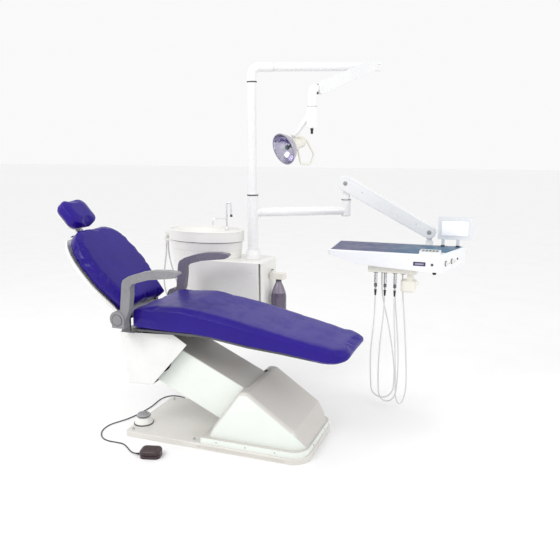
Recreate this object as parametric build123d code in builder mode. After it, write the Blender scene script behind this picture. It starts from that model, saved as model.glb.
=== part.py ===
from build123d import *
import os
from math import atan2, cos, degrees, hypot, radians, sin, sqrt, tan

# Dental treatment chair with a side unit, cuspidor, instrument tray and operating light.
# Millimetres. +Z up, +X towards the foot end, +Y towards the side unit.
# The origin is the centre of the base plate's underside, on the floor.

os.makedirs("parts", exist_ok=True)

# ---------------------------------------------------------------- driving sizes
BASE_L = 1027.0          # base plate length
BASE_W = 520.0           # base plate width
BASE_T = 30.0            # base plate thickness
BASE_HEAD_R = 25.0       # plan radius of the head-end corners
BASE_FOOT_R = 90.0       # plan radius of the foot-end corners
ANCHOR_X = 370.0         # floor anchor holes, spacing along the plate
ANCHOR_Y = 450.0         # floor anchor holes, spacing across the plate
ANCHOR_CX = -295.0       # centre of the anchor pattern
ANCHOR_R = 7.0
WALL = 4.0               # wall of every moulded cover
GAP = 0.3                # gap between pieces that seat on each other
RUN = 0.05               # radial clearance of a turning fit

HUMP_W = 444.0           # width of the base cover
HUMP_TOP = 328.0         # height of the base cover's crest
SKIRT_H = 30.0           # height of the base cover's skirt

ARM_LEN = 640.0          # lift arm, pivot to pivot
ARM_DEG = 25.0           # lift arm slope at rest
ARM_W = 280.0            # width of the lift arm's cover
ARM_H = 234.0            # depth of the lift arm's cover
LINK_DROP = 70.0         # parallel link, below the arm pivots
PIN_R = 20.0             # main lift pins
LINK_PIN_R = 9.0         # parallel link pins
CHEEK_Y = 148.0          # inner face of the pivot cheeks
CHEEK_T = 12.0
B1X, B1Z = 220.0, 154.0  # lower lift pivot
LEVER = 78.0             # lever under the lower pivot, worked by the lift cylinder

SEAT_W = 520.0           # seat cushion width
TOE_W = 440.0            # seat cushion width at the toe
BACK_DEG = 48.0          # backrest slope at rest
RX, RZ = -485.0, 664.0   # recline axis, shared with the armrests
RPIN_R = 10.0
BACK_U0, BACK_U1 = 30.0, 568.0
BACK_FRONT, BACK_REAR = 30.0, -45.0
SHELL_REAR = -72.0

ARMREST_Y = 270.0        # inner face of an armrest
ARMREST_T = 42.0

POLE_X, POLE_Y = -100.0, 580.0
POLE_R = 26.0
POLE_BORE = 21.0
POLE_TOP = 1905.0
UNIT_Y0, UNIT_Y1 = 450.0, 720.0
UNIT_Z0, UNIT_Z1 = 420.0, 862.0

BOWL_X, BOWL_Y = -417.0, 580.0
BOWL_A, BOWL_B = 250.0, 150.0    # half length and half width of the bowl's rim
BOWL_TOP = 1032.0

# ---------------------------------------------------------------- derived places
CA, SA = cos(radians(ARM_DEG)), sin(radians(ARM_DEG))
S1X, S1Z = B1X - ARM_LEN * CA, B1Z + ARM_LEN * SA
ARM = Plane(origin=(B1X, 0, B1Z), x_dir=(-CA, 0, SA), z_dir=(0, 1, 0))
LINK = Plane(origin=(B1X, 0, B1Z - LINK_DROP), x_dir=(-CA, 0, SA), z_dir=(0, 1, 0))
CB, SB = cos(radians(BACK_DEG)), sin(radians(BACK_DEG))
BACK = Plane(origin=(RX, 0, RZ), x_dir=(0, 1, 0), z_dir=(SB, 0, CB))
SIDE = Plane(origin=(0, 0, 0), x_dir=(1, 0, 0), z_dir=(0, -1, 0))


def side(y):
    """Upright plane at a given Y, drawn in X and Z, extruding towards -Y."""
    return SIDE.offset(-y)


# ================================================================ base
# Base plate with the two welded cheeks that carry the lift arm and its parallel link.
with BuildPart() as base_plate:
    with BuildSketch(Plane.XY) as plate_plan:
        Rectangle(BASE_L, BASE_W)
        fillet(plate_plan.vertices().group_by(Axis.X)[0], BASE_HEAD_R)
        fillet(plate_plan.vertices().group_by(Axis.X)[-1], BASE_FOOT_R)
    extrude(amount=BASE_T)
    fillet(base_plate.faces().sort_by(Axis.Z)[-1].edges(), 6)
    with BuildSketch(Plane.XY):
        with Locations((ANCHOR_CX, 0)):
            with GridLocations(ANCHOR_X, ANCHOR_Y, 2, 2):
                Circle(ANCHOR_R)
    extrude(amount=BASE_T, mode=Mode.SUBTRACT)
    # long shallow groove in both long edges
    for groove_y in (-BASE_W / 2 + 4, BASE_W / 2):
        with BuildSketch(side(groove_y)):
            with Locations((165, 13)):
                SlotOverall(480, 12)
        extrude(amount=4, mode=Mode.SUBTRACT)
    # gland for the foot switch's cable
    with BuildSketch(side(BASE_W / 2 + 8)):
        with Locations((-445, 13)):
            Circle(7)
    extrude(amount=9)
    for cheek_y in (CHEEK_Y + CHEEK_T, -CHEEK_Y):
        with BuildSketch(side(cheek_y)):
            with BuildLine():
                Polyline((B1X - 100, BASE_T), (B1X + 100, BASE_T), (B1X + 42, B1Z + 22), (B1X + 22, B1Z + 44),
                         (B1X - 22, B1Z + 44), (B1X - 42, B1Z + 22), close=True)
            make_face()
        extrude(amount=CHEEK_T)
    with BuildSketch(side(200)):
        with Locations((B1X, B1Z)):
            Circle(PIN_R + RUN)
        with Locations((B1X, B1Z - LINK_DROP)):
            Circle(LINK_PIN_R + RUN)
    extrude(amount=400, mode=Mode.SUBTRACT)
base_plate.part.label = "base_plate"
export_step(base_plate.part, "parts/base_plate.step")


def pin_set(pivot_x, pivot_z):
    """Lift pin across both cheeks, and the two stub pins of the parallel link."""
    outer = CHEEK_Y + CHEEK_T + GAP
    with BuildPart() as pins:
        with BuildSketch(side(outer)):
            with Locations((pivot_x, pivot_z)):
                Circle(PIN_R)
        extrude(amount=2 * outer)
        for head_y in (outer + 5, -outer):
            with BuildSketch(side(head_y)):
                with Locations((pivot_x, pivot_z)):
                    Circle(PIN_R + 7)
                with Locations((pivot_x, pivot_z - LINK_DROP)):
                    Circle(LINK_PIN_R + 5)
            extrude(amount=5)
        for stub_y in (outer, -80):
            with BuildSketch(side(stub_y)):
                with Locations((pivot_x, pivot_z - LINK_DROP)):
                    Circle(LINK_PIN_R)
            extrude(amount=outer - 80)
    return pins.part


lower_pins = pin_set(B1X, B1Z)
with BuildPart() as base_pins:
    add(lower_pins)
base_pins.part.label = "base_pins"
export_step(base_pins.part, "parts/base_pins.step")


def hump(wall):
    """Body of the base cover; wall takes that much off all round, for the hollow."""
    low = BASE_T if wall == 0 else BASE_T - 20
    with BuildPart() as body:
        with BuildSketch(SIDE) as profile:
            with BuildLine():
                Polyline((-60, BASE_T - 20), (-50, BASE_T), (0, 120), (148, HUMP_TOP), (192, HUMP_TOP),
                         (440, 157), (492, 62), (500, BASE_T), (500, BASE_T - 20), close=True)
            make_face()
            if wall:
                offset(amount=-wall)
        extrude(amount=HUMP_W / 2 - wall, both=True)
        crest = body.edges().filter_by(Axis.Y).group_by(Axis.Z)[-1]
        fillet(crest, 36 - wall)
        rim = body.edges().filter_by(lambda e: abs(abs(e.center().Y) - (HUMP_W / 2 - wall)) < 0.01)
        rim = rim.filter_by(lambda e: e.center().Z > 70)
        fillet(rim, 26 - wall)
        with BuildSketch(Plane.XY.offset(low)) as plan:
            with Locations((220, 0)):
                Rectangle(560 - 2 * wall, HUMP_W - 2 * wall)
            fillet(plan.vertices().group_by(Axis.X)[-1], BASE_FOOT_R - 4 - wall)
        extrude(amount=400, mode=Mode.INTERSECT)
    return body.part


hump_outer = hump(0)
hump_inner = hump(WALL)
with BuildPart() as base_cover:
    add(hump_outer)
    with BuildSketch(Plane.XY.offset(BASE_T)) as skirt:
        with Locations((222.5, 0)):
            Rectangle(565, 500)
        fillet(skirt.vertices().group_by(Axis.X)[-1], BASE_FOOT_R - 8)
    extrude(amount=SKIRT_H)
    add(hump_inner, mode=Mode.SUBTRACT)
    with BuildSketch(Plane.XY.offset(BASE_T)) as skirt_in:
        with Locations((222.5, 0)):
            Rectangle(565 - 2 * WALL, 500 - 2 * WALL)
        fillet(skirt_in.vertices().group_by(Axis.X)[-1], BASE_FOOT_R - 8 - WALL)
    extrude(amount=SKIRT_H - WALL, mode=Mode.SUBTRACT)
    # slot that the lift arm swings in
    with BuildSketch(Plane.XY.offset(BASE_T + SKIRT_H + 2)):
        with Locations((-14, 0)):
            Rectangle(372, ARM_W + 12)
    extrude(amount=400, mode=Mode.SUBTRACT)
base_cover.part.label = "base_cover"
export_step(base_cover.part, "parts/base_cover.step")

# Electric pump under the cover: motor, end caps and foot.
with BuildPart() as pump_unit:
    with BuildSketch(Plane.YZ.offset(300)):
        with Locations((-95, BASE_T + 50)):
            Circle(42)
    extrude(amount=110)
    with BuildSketch(Plane.YZ.offset(410)):
        with Locations((-95, BASE_T + 45)):
            Rectangle(80, 70)
    extrude(amount=26)
    with BuildSketch(Plane.XY.offset(BASE_T)):
        with Locations((368, -95)):
            Rectangle(136, 84)
    extrude(amount=12)
pump_unit.part.label = "pump_unit"
export_step(pump_unit.part, "parts/pump_unit.step")

# Lift cylinder on the base; its rod pushes the lever under the lower pivot.
CYL_Z = B1Z - LEVER
ROD_R = 10.0
with BuildPart() as lift_cylinder:
    with BuildSketch(Plane.YZ.offset(335)):
        with Locations((0, CYL_Z)):
            Circle(27)
    extrude(amount=115)
    with BuildSketch(Plane.XY.offset(BASE_T)):
        with Locations((392, 0)):
            Rectangle(80, 50)
    extrude(amount=CYL_Z - BASE_T)
    with BuildSketch(Plane.YZ.offset(335)):
        with Locations((0, CYL_Z)):
            Circle(ROD_R + RUN)
    extrude(amount=108, mode=Mode.SUBTRACT)
lift_cylinder.part.label = "lift_cylinder"
export_step(lift_cylinder.part, "parts/lift_cylinder.step")

with BuildPart() as lift_rod:
    with BuildSketch(Plane.YZ.offset(B1X + 26)):
        with Locations((0, CYL_Z)):
            Circle(ROD_R)
    extrude(amount=164)
    fillet(lift_rod.faces().sort_by(Axis.X)[0].edges(), 6)
lift_rod.part.label = "lift_rod"
export_step(lift_rod.part, "parts/lift_rod.step")

# Foot joystick at the head end of the plate: a low dome and its knob.
FOOT_X, FOOT_Y = -470.0, -135.0
with BuildPart() as foot_control:
    with BuildSketch(Plane(origin=(FOOT_X, FOOT_Y, 0), x_dir=(1, 0, 0), z_dir=(0, -1, 0))):
        with BuildLine():
            Polyline((0, BASE_T), (52, BASE_T), (50, BASE_T + 8), (38, BASE_T + 34), (34, BASE_T + 38),
                     (10.3, BASE_T + 38), (10.3, BASE_T + 13.7), (0, BASE_T + 13.7), close=True)
        make_face()
    revolve(axis=Axis((FOOT_X, FOOT_Y, 0), (0, 0, 1)))
foot_control.part.label = "foot_control"
export_step(foot_control.part, "parts/foot_control.step")

with BuildPart() as foot_knob:
    with BuildSketch(Plane(origin=(FOOT_X, FOOT_Y, 0), x_dir=(1, 0, 0), z_dir=(0, -1, 0))):
        with BuildLine():
            # The ball of the stem turns about its own centre, 24 mm above the plate.
            Polyline((6, BASE_T + 32), (6, BASE_T + 43), (37, BASE_T + 43), (38, BASE_T + 47), (34, BASE_T + 54),
                     (22, BASE_T + 59), (3, BASE_T + 61), (0, BASE_T + 61), (0, BASE_T + 24 - sqrt(96)),
                     (2, BASE_T + 24 - sqrt(96)))
            ThreePointArc((2, BASE_T + 24 - sqrt(96)), (10, BASE_T + 24), (6, BASE_T + 32))
        make_face()
    revolve(axis=Axis((FOOT_X, FOOT_Y, 0), (0, 0, 1)))
foot_knob.part.label = "foot_knob"
export_step(foot_knob.part, "parts/foot_knob.step")

# ================================================================ lift arm
with BuildPart() as lift_arm_beam:
    with BuildSketch(ARM):
        with Locations((ARM_LEN / 2, 0)):
            Rectangle(ARM_LEN, 100)
    extrude(amount=60, both=True)
    with BuildSketch(ARM):
        with Locations((0, 0), (ARM_LEN, 0)):
            Circle(38)
    extrude(amount=CHEEK_Y - 10, both=True)
    with BuildSketch(ARM):
        for rib_t in (200, 480):
            with Locations((rib_t, (ARM_H / 2 - WALL - GAP + 40) / 2)):
                Rectangle(6, ARM_H / 2 - WALL - GAP - 40)
    extrude(amount=ARM_W / 2 - WALL - GAP, both=True)
    with BuildSketch(ARM):
        with Locations((ARM_LEN / 2, 0)):
            Rectangle(ARM_LEN - 130, 84)
    extrude(amount=52, both=True, mode=Mode.SUBTRACT)
    with BuildSketch(SIDE):
        with Locations((B1X, B1Z - (LEVER + 14) / 2)):
            Rectangle(34, LEVER + 14)
    extrude(amount=12, both=True)
    with BuildSketch(ARM):
        with Locations((0, 0), (ARM_LEN, 0)):
            Circle(PIN_R + RUN)
    extrude(amount=200, both=True, mode=Mode.SUBTRACT)
lift_arm_beam.part.label = "lift_arm_beam"
export_step(lift_arm_beam.part, "parts/lift_arm_beam.step")

ARM_T0 = 100.0
with BuildPart() as lift_arm_cover:
    with BuildSketch(ARM):
        with Locations(((ARM_T0 + ARM_LEN) / 2, 0)):
            Rectangle(ARM_LEN - ARM_T0, ARM_H)
        with Locations((ARM_LEN, 0)):
            Circle(ARM_H / 2)
    extrude(amount=ARM_W / 2, both=True)
    long_edges = lift_arm_cover.edges().filter_by(lambda e: abs(abs(e.center().Y) - ARM_W / 2) < 0.01)
    long_edges = long_edges.filter_by(lambda e: e.length > 200)
    fillet(long_edges, 7)
    with BuildSketch(ARM):
        with Locations(((ARM_T0 - 20 + ARM_LEN) / 2, 0)):
            Rectangle(ARM_LEN - ARM_T0 + 20, ARM_H - 2 * WALL)
        with Locations((ARM_LEN, 0)):
            Circle(ARM_H / 2 - WALL)
    extrude(amount=ARM_W / 2 - WALL, both=True, mode=Mode.SUBTRACT)
    with BuildSketch(ARM):
        with Locations((ARM_LEN, 0)):
            Circle(LINK_DROP + LINK_PIN_R + 5)
    extrude(amount=200, both=True, mode=Mode.SUBTRACT)
lift_arm_cover.part.label = "lift_arm_cover"
export_step(lift_arm_cover.part, "parts/lift_arm_cover.step")

with BuildPart() as parallel_link:
    for bar_y in (85, -97):
        with BuildSketch(LINK.offset(bar_y)):
            with Locations((ARM_LEN / 2, 0)):
                SlotCenterToCenter(ARM_LEN, 36)
        extrude(amount=12)
    with BuildSketch(LINK):
        with Locations((ARM_LEN / 2, 0)):
            Circle(8)
    extrude(amount=90, both=True)
    with BuildSketch(LINK):
        with Locations((0, 0), (ARM_LEN, 0)):
            Circle(LINK_PIN_R + RUN)
    extrude(amount=200, both=True, mode=Mode.SUBTRACT)
parallel_link.part.label = "parallel_link"
export_step(parallel_link.part, "parts/parallel_link.step")

# ================================================================ seat
# Underside of the seat cushion, which the pan, the rails and the frame all follow.
SEAT_UNDER = [(-458, 600), (-110, 606), (10, 600), (360, 554), (570, 521)]
PAN_T = 10.0
PLATE_Z = 578.0


def dropped(points, by):
    return [(px, pz - by) for px, pz in points]


with BuildPart() as seat_frame:
    with BuildSketch(Plane.XY.offset(PLATE_Z)):
        with Locations((-305, 0)):
            Rectangle(390, 380)
        with Locations((-479, 0)):
            Rectangle(78, 468)
    extrude(amount=8)
    rail_top = dropped(SEAT_UNDER[:4], PAN_T + 2 * GAP)
    for rail_y in (130, -100):
        with BuildSketch(side(rail_y)):
            with BuildLine():
                Polyline(*rail_top, (400, 520), (350, 516), (10, 562), (-110, PLATE_Z), (-458, PLATE_Z), close=True)
            make_face()
        extrude(amount=30)
    for cheek_y in (CHEEK_Y + CHEEK_T, -CHEEK_Y):
        with BuildSketch(side(cheek_y)):
            with BuildLine():
                Polyline((S1X - 34, S1Z - 95), (S1X + 14, S1Z - 95), (S1X + 68, S1Z + 55), (S1X + 68, PLATE_Z),
                         (S1X - 80, PLATE_Z), (S1X - 80, S1Z + 45), close=True)
            make_face()
        extrude(amount=CHEEK_T)
    # uprights that carry the recline axis
    for ear_y in (234, -222):
        with BuildSketch(side(ear_y)):
            with BuildLine():
                Polyline((RX - 30, PLATE_Z), (RX + 22, PLATE_Z), (RX + 22, RZ), (RX - 22, RZ), close=True)
            make_face()
            with Locations((RX, RZ)):
                Circle(22)
        extrude(amount=12)
    with BuildSketch(side(260)):
        with Locations((S1X, S1Z)):
            Circle(PIN_R + RUN)
        with Locations((S1X, S1Z - LINK_DROP)):
            Circle(LINK_PIN_R + RUN)
        with Locations((RX, RZ)):
            Circle(RPIN_R + RUN)
    extrude(amount=520, mode=Mode.SUBTRACT)
seat_frame.part.label = "seat_frame"
export_step(seat_frame.part, "parts/seat_frame.step")

upper_pins = pin_set(S1X, S1Z)
with BuildPart() as frame_pins:
    add(upper_pins)
    for pin_y in (ARMREST_Y + 30, -178):
        with BuildSketch(side(pin_y)):
            with Locations((RX, RZ)):
                Circle(RPIN_R)
        extrude(amount=ARMREST_Y + 30 - 178)
frame_pins.part.label = "frame_pins"
export_step(frame_pins.part, "parts/frame_pins.step")

BOX_W = 380.0
BOX_SIDE = [(-560, 562), (-235, PLATE_Z - GAP), (-157, 531), (-373, 285), (-517, 276)]
BRK_X, BRK_Z = -356.0, 525.0
BRK_W, BRK_H = 80.0, 50.0
with BuildPart() as seat_box_cover:
    with BuildSketch(SIDE):
        with BuildLine():
            Polyline(*BOX_SIDE, close=True)
        make_face()
    extrude(amount=BOX_W / 2, both=True)
    outer_edges = seat_box_cover.edges().filter_by(lambda e: abs(abs(e.center().Y) - BOX_W / 2) < 0.01)
    outer_edges = outer_edges.filter_by(lambda e: e.center().X < -430 and e.center().Z < 500)
    fillet(outer_edges, 8)
    with BuildSketch(SIDE):
        with BuildLine():
            Polyline((-563, 620), (-513, 280.5), (-300, 293.8), (-60, 293.8), (-60, 620), close=True)
        make_face()
    extrude(amount=BOX_W / 2 - WALL, both=True, mode=Mode.SUBTRACT)
    with BuildSketch(side(BOX_W / 2 + 20)):
        with Locations((BRK_X, BRK_Z)):
            Rectangle(BRK_W + 4, BRK_H + 4)
    extrude(amount=60, mode=Mode.SUBTRACT)
seat_box_cover.part.label = "seat_box_cover"
export_step(seat_box_cover.part, "parts/seat_box_cover.step")


def seat_plan(width, toe, x0, x1):
    return [(x0, -width / 2), (200, -width / 2), (x1, -toe / 2), (x1, toe / 2), (200, width / 2), (x0, width / 2)]


with BuildPart() as seat_pan:
    with BuildSketch(SIDE):
        with BuildLine():
            Polyline(*dropped(SEAT_UNDER, GAP), *reversed(dropped(SEAT_UNDER, GAP + PAN_T)), close=True)
        make_face()
    extrude(amount=250, both=True)
    with BuildSketch(Plane.XY.offset(400)):
        with BuildLine():
            Polyline(*seat_plan(SEAT_W - 60, TOE_W - 90, -452, 562), close=True)
        make_face()
    extrude(amount=400, mode=Mode.INTERSECT)
seat_pan.part.label = "seat_pan"
export_step(seat_pan.part, "parts/seat_pan.step")

with BuildPart() as seat_cushion:
    with BuildSketch(SIDE) as seat_profile:
        with BuildLine():
            Polyline((-460, 600), (-110, 606), (10, 600), (360, 554), (570, 521), (650, 519), (700, 528),
                     (722, 550), (712, 572), (590, 584), (360, 631), (100, 687), (0, 703), (-170, 727),
                     (-400, 716), (-460, 703), close=True)
        make_face()
    extrude(amount=SEAT_W / 2, both=True)
    with BuildSketch(Plane.XY.offset(400)) as seat_outline:
        with BuildLine():
            Polyline(*seat_plan(SEAT_W, TOE_W, -460, 722), close=True)
        make_face()
        fillet(seat_outline.vertices().group_by(Axis.X)[-1], 110)
        fillet(seat_outline.vertices().group_by(Axis.X)[0], 24)
    extrude(amount=400, mode=Mode.INTERSECT)
seat_cushion.part.label = "seat_cushion"
export_step(seat_cushion.part, "parts/seat_cushion.step")

# ================================================================ backrest
# Egg-shaped plan of the back, in the backrest plane: half widths at each height.
BACK_HALF = [(0, 198), (70, 213), (200, 246), (300, 250), (400, 238), (480, 200), (520, 150)]


def back_face(inset):
    """Closed outline of the back, narrowed by inset, as a flat face."""
    right = [(half - inset, BACK_U0 + inset * 0.5 + u) for u, half in BACK_HALF]
    left = [(-x, y) for x, y in reversed(right)]
    with BuildSketch() as face:
        with BuildLine():
            Spline(*right, (0, BACK_U1 - inset), *left)
            Line(left[-1], right[0])
        make_face()
    return face.sketch


with BuildPart() as backrest_cushion:
    with BuildSketch(BACK.offset(BACK_REAR)):
        add(back_face(0))
    extrude(amount=BACK_FRONT - BACK_REAR)
    fillet(backrest_cushion.faces().sort_by(Axis((0, 0, 0), (SB, 0, CB)))[-1].edges(), 14)
backrest_cushion.part.label = "backrest_cushion"
export_step(backrest_cushion.part, "parts/backrest_cushion.step")

# Moulded rear shell, hollow, with the steel frame inside it.
BAR_W = 60.0             # headrest bar width
BAR_T = 8.0              # headrest bar thickness
BAR_N = -57.0            # middle of the headrest bar, behind the recline axis
with BuildPart() as backrest_shell:
    with BuildSketch(BACK.offset(SHELL_REAR)):
        add(back_face(5))
    extrude(amount=BACK_REAR - GAP - SHELL_REAR)
    chamfer(backrest_shell.faces().sort_by(Axis((0, 0, 0), (SB, 0, CB)))[0].edges(), 11)
    with BuildSketch(BACK.offset(SHELL_REAR + WALL)):
        add(back_face(5 + 10))
    extrude(amount=40, mode=Mode.SUBTRACT)
    # slot for the headrest bar at the crown and for the hinge arms at the foot
    with BuildSketch(BACK.offset(BAR_N - BAR_T / 2 - 1)):
        with Locations((0, BACK_U1)):
            Rectangle(BAR_W + 4, 120)
    extrude(amount=BAR_T + 30, mode=Mode.SUBTRACT)
    with BuildSketch(BACK.offset(BAR_N - 8)):
        with Locations((-186, BACK_U0 + 36), (186, BACK_U0 + 36)):
            Rectangle(16, 122)
    extrude(amount=30, mode=Mode.SUBTRACT)
backrest_shell.part.label = "backrest_shell"
export_step(backrest_shell.part, "parts/backrest_shell.step")

with BuildPart() as backrest_frame:
    # cross members inside the shell, either side of the headrest bar
    with BuildSketch(BACK.offset(SHELL_REAR + WALL + GAP)):
        with Locations((0, 276)):
            Rectangle(BAR_W + 44, 420)
    extrude(amount=BAR_N - BAR_T / 2 - 0.5 - SHELL_REAR - WALL - GAP)
    with BuildSketch(BACK.offset(BAR_N - BAR_T / 2 - 0.5)):
        with Locations((0, 112), (0, 330)):
            Rectangle(384, 40)
        with Locations((-(BAR_W / 2 + 12), 276), (BAR_W / 2 + 12, 276)):
            Rectangle(20, 420)
    extrude(amount=BAR_T)
    with BuildSketch(BACK.offset(BAR_N - BAR_T / 2 - 0.5)):
        with Locations((0, 270)):
            Rectangle(BAR_W + 2, 500)
    extrude(amount=BAR_T + 2, mode=Mode.SUBTRACT)
    # hinge arms, cranked under the foot of the cushion to the recline axis
    for arm_y in (192, -180):
        with BuildSketch(Plane(origin=(RX, arm_y, RZ), x_dir=(SB, 0, CB), z_dir=(0, -1, 0))):
            with BuildLine():
                Polyline((16, -14), (16, 14), (-30, 18), (-49, 30), (-49, 130), (-61, 130), (-61, 0), (-44, -14),
                         close=True)
            make_face()
            Circle(19)
        extrude(amount=12)
    with BuildSketch(side(260)):
        with Locations((RX, RZ)):
            Circle(RPIN_R + RUN)
    extrude(amount=520, mode=Mode.SUBTRACT)
backrest_frame.part.label = "backrest_frame"
export_step(backrest_frame.part, "parts/backrest_frame.step")

# Headrest: flat bar that slides in the back, and the tilting head cushion.
HEAD_U, HEAD_V = 672.0, -57.0        # headrest tilt axis in the backrest plane
BAR_U0 = 380.0
with BuildPart() as headrest_bar:
    with BuildSketch(BACK.offset(BAR_N - BAR_T / 2)):
        with Locations((0, (BAR_U0 + HEAD_U) / 2)):
            Rectangle(BAR_W, HEAD_U - BAR_U0)
    extrude(amount=BAR_T)
    with BuildSketch(Plane(origin=(RX, BAR_W / 2, RZ), x_dir=(SB, 0, CB), z_dir=(0, -1, 0))):
        with Locations((BAR_N, HEAD_U)):
            Circle(12)
    extrude(amount=BAR_W)
    with BuildSketch(Plane(origin=(RX, BAR_W, RZ), x_dir=(SB, 0, CB), z_dir=(0, -1, 0))):
        with Locations((BAR_N, HEAD_U)):
            Circle(6)
    extrude(amount=2 * BAR_W)
headrest_bar.part.label = "headrest_bar"
export_step(headrest_bar.part, "parts/headrest_bar.step")

HEAD_W, HEAD_H = 214.0, 176.0
HEAD_FRONT, HEAD_REAR = 34.0, -36.0
with BuildPart() as headrest_shell:
    with BuildSketch(BACK.offset(HEAD_REAR - 6)):
        with Locations((0, HEAD_U)):
            RectangleRounded(HEAD_W - 30, HEAD_H - 30, 38)
    extrude(amount=6 - GAP)
    for lug_y in (BAR_W / 2 + 13, -BAR_W / 2 - 1):
        with BuildSketch(Plane(origin=(RX, lug_y, RZ), x_dir=(SB, 0, CB), z_dir=(0, -1, 0))):
            with BuildLine():
                Polyline((HEAD_REAR - 6, HEAD_U - 26), (HEAD_REAR - 6, HEAD_U + 26), (BAR_N, HEAD_U + 13),
                         (BAR_N, HEAD_U - 13), close=True)
            make_face()
            with Locations((BAR_N, HEAD_U)):
                Circle(13)
        extrude(amount=12)
    with BuildSketch(Plane(origin=(RX, 100, RZ), x_dir=(SB, 0, CB), z_dir=(0, -1, 0))):
        with Locations((BAR_N, HEAD_U)):
            Circle(6 + RUN)
    extrude(amount=200, mode=Mode.SUBTRACT)
headrest_shell.part.label = "headrest_shell"
export_step(headrest_shell.part, "parts/headrest_shell.step")

with BuildPart() as headrest_cushion:
    with BuildSketch(BACK.offset(HEAD_REAR)):
        with Locations((0, HEAD_U)):
            RectangleRounded(HEAD_W, HEAD_H, 58)
    extrude(amount=HEAD_FRONT - HEAD_REAR)
    fillet(headrest_cushion.faces().sort_by(Axis((0, 0, 0), (SB, 0, CB)))[-1].edges(), 16)
headrest_cushion.part.label = "headrest_cushion"
export_step(headrest_cushion.part, "parts/headrest_cushion.step")

# ================================================================ armrests
ARMREST_SIDE = [(-452, 640), (-415, 719), (-403, 800), (-402, 843), (-388, 860), (-296, 887), (-166, 903),
                (-146, 907), (-126, 926), (-134, 935), (-185, 940), (-272, 935), (-338, 921), (-406, 899),
                (-441, 878), (-450, 858), (-466, 717), (-500, 690), (-500, 640)]


def armrest(inner, outer, bore_from, bore_to):
    """One armrest between two Y planes; outer is the side away from the seat."""
    away = 1 if outer > inner else -1
    with BuildPart() as arm:
        with BuildSketch(side(max(inner, outer))) as arm_side:
            with BuildLine():
                Polyline(*ARMREST_SIDE, close=True)
            make_face()
        extrude(amount=ARMREST_T)
        with BuildSketch(side(max(inner - 3 * away, outer + 4 * away))):
            with Locations((RX, RZ + 4)):
                Circle(43)
            with Locations((RX + 4, RZ - 22)):
                Rectangle(72, 40)
        extrude(amount=ARMREST_T + 7)
        with BuildSketch(side(max(bore_from, bore_to))):
            with Locations((RX, RZ)):
                Circle(RPIN_R + RUN)
        extrude(amount=abs(bore_to - bore_from), mode=Mode.SUBTRACT)
    return arm.part


arm_out = ARMREST_Y + ARMREST_T
near_arm = armrest(-ARMREST_Y, -arm_out, -ARMREST_Y + 10, -ARMREST_Y - 32)
far_arm = armrest(ARMREST_Y, arm_out, ARMREST_Y - 10, ARMREST_Y + 32)
with BuildPart() as armrest_near:
    add(near_arm)
armrest_near.part.label = "armrest_near"
export_step(armrest_near.part, "parts/armrest_near.step")
with BuildPart() as armrest_far:
    add(far_arm)
armrest_far.part.label = "armrest_far"
export_step(armrest_far.part, "parts/armrest_far.step")

# ================================================================ side unit
# Steel bracket from the seat frame's cheek to the side unit.
with BuildPart() as unit_bracket:
    with BuildSketch(side(CHEEK_Y + CHEEK_T + GAP + 8)):
        with Locations((BRK_X + 4, BRK_Z)):
            Rectangle(88, 84)
    extrude(amount=8)
    with BuildSketch(side(UNIT_Y0 - GAP)):
        with Locations((BRK_X, BRK_Z)):
            Rectangle(BRK_W, BRK_H)
    extrude(amount=UNIT_Y0 - CHEEK_Y - CHEEK_T - 2 * GAP - 4)
    with BuildSketch(side(UNIT_Y0 - GAP)):
        with Locations((BRK_X, BRK_Z)):
            Rectangle(160, 120)
    extrude(amount=8)
    with BuildSketch(side(UNIT_Y0 - GAP - 8)):
        with Locations((BRK_X, BRK_Z)):
            Rectangle(BRK_W - 2 * WALL, BRK_H - 2 * WALL)
    extrude(amount=UNIT_Y0 - CHEEK_Y - CHEEK_T - 2 * GAP - 20, mode=Mode.SUBTRACT)
unit_bracket.part.label = "unit_bracket"
export_step(unit_bracket.part, "parts/unit_bracket.step")


def bowl_body(grow):
    """Tapered outside of the cuspidor below its rim."""
    with BuildPart() as body:
        with BuildSketch(Plane(origin=(BOWL_X, BOWL_Y, 740))):
            Ellipse(216 + grow, 106 + grow)
        with BuildSketch(Plane(origin=(BOWL_X, BOWL_Y, 966))):
            Ellipse(BOWL_A - 9 + grow, BOWL_B - 9 + grow)
        loft()
    return body.part


bowl_outer = bowl_body(0)
bowl_room = bowl_body(0.5)
with BuildPart() as unit_box:
    with BuildSketch(side(UNIT_Y1)):
        with BuildLine():
            Polyline((-456, UNIT_Z1), (8, UNIT_Z1), (12, UNIT_Z0), (-546, UNIT_Z0), (-546, 585), close=True)
        make_face()
    extrude(amount=UNIT_Y1 - UNIT_Y0)
    fillet(unit_box.edges().filter_by(lambda e: e.center().X > -10 and abs(e.center().Z - 641) < 5), 42)
    fillet(unit_box.faces().sort_by(Axis.Z)[-1].edges(), 8)
    with BuildSketch(side(UNIT_Y1 - WALL)):
        with BuildLine():
            Polyline((-456 + WALL, UNIT_Z1 - WALL - 4), (8 - WALL - 10, UNIT_Z1 - WALL - 4), (12 - WALL - 10, UNIT_Z0 - 2),
                     (-546 + WALL, UNIT_Z0 - 2), (-546 + WALL, 585), close=True)
        make_face()
    extrude(amount=UNIT_Y1 - UNIT_Y0 - 2 * WALL, mode=Mode.SUBTRACT)
    add(bowl_room, mode=Mode.SUBTRACT)
unit_box.part.label = "unit_box"
export_step(unit_box.part, "parts/unit_box.step")

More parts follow.
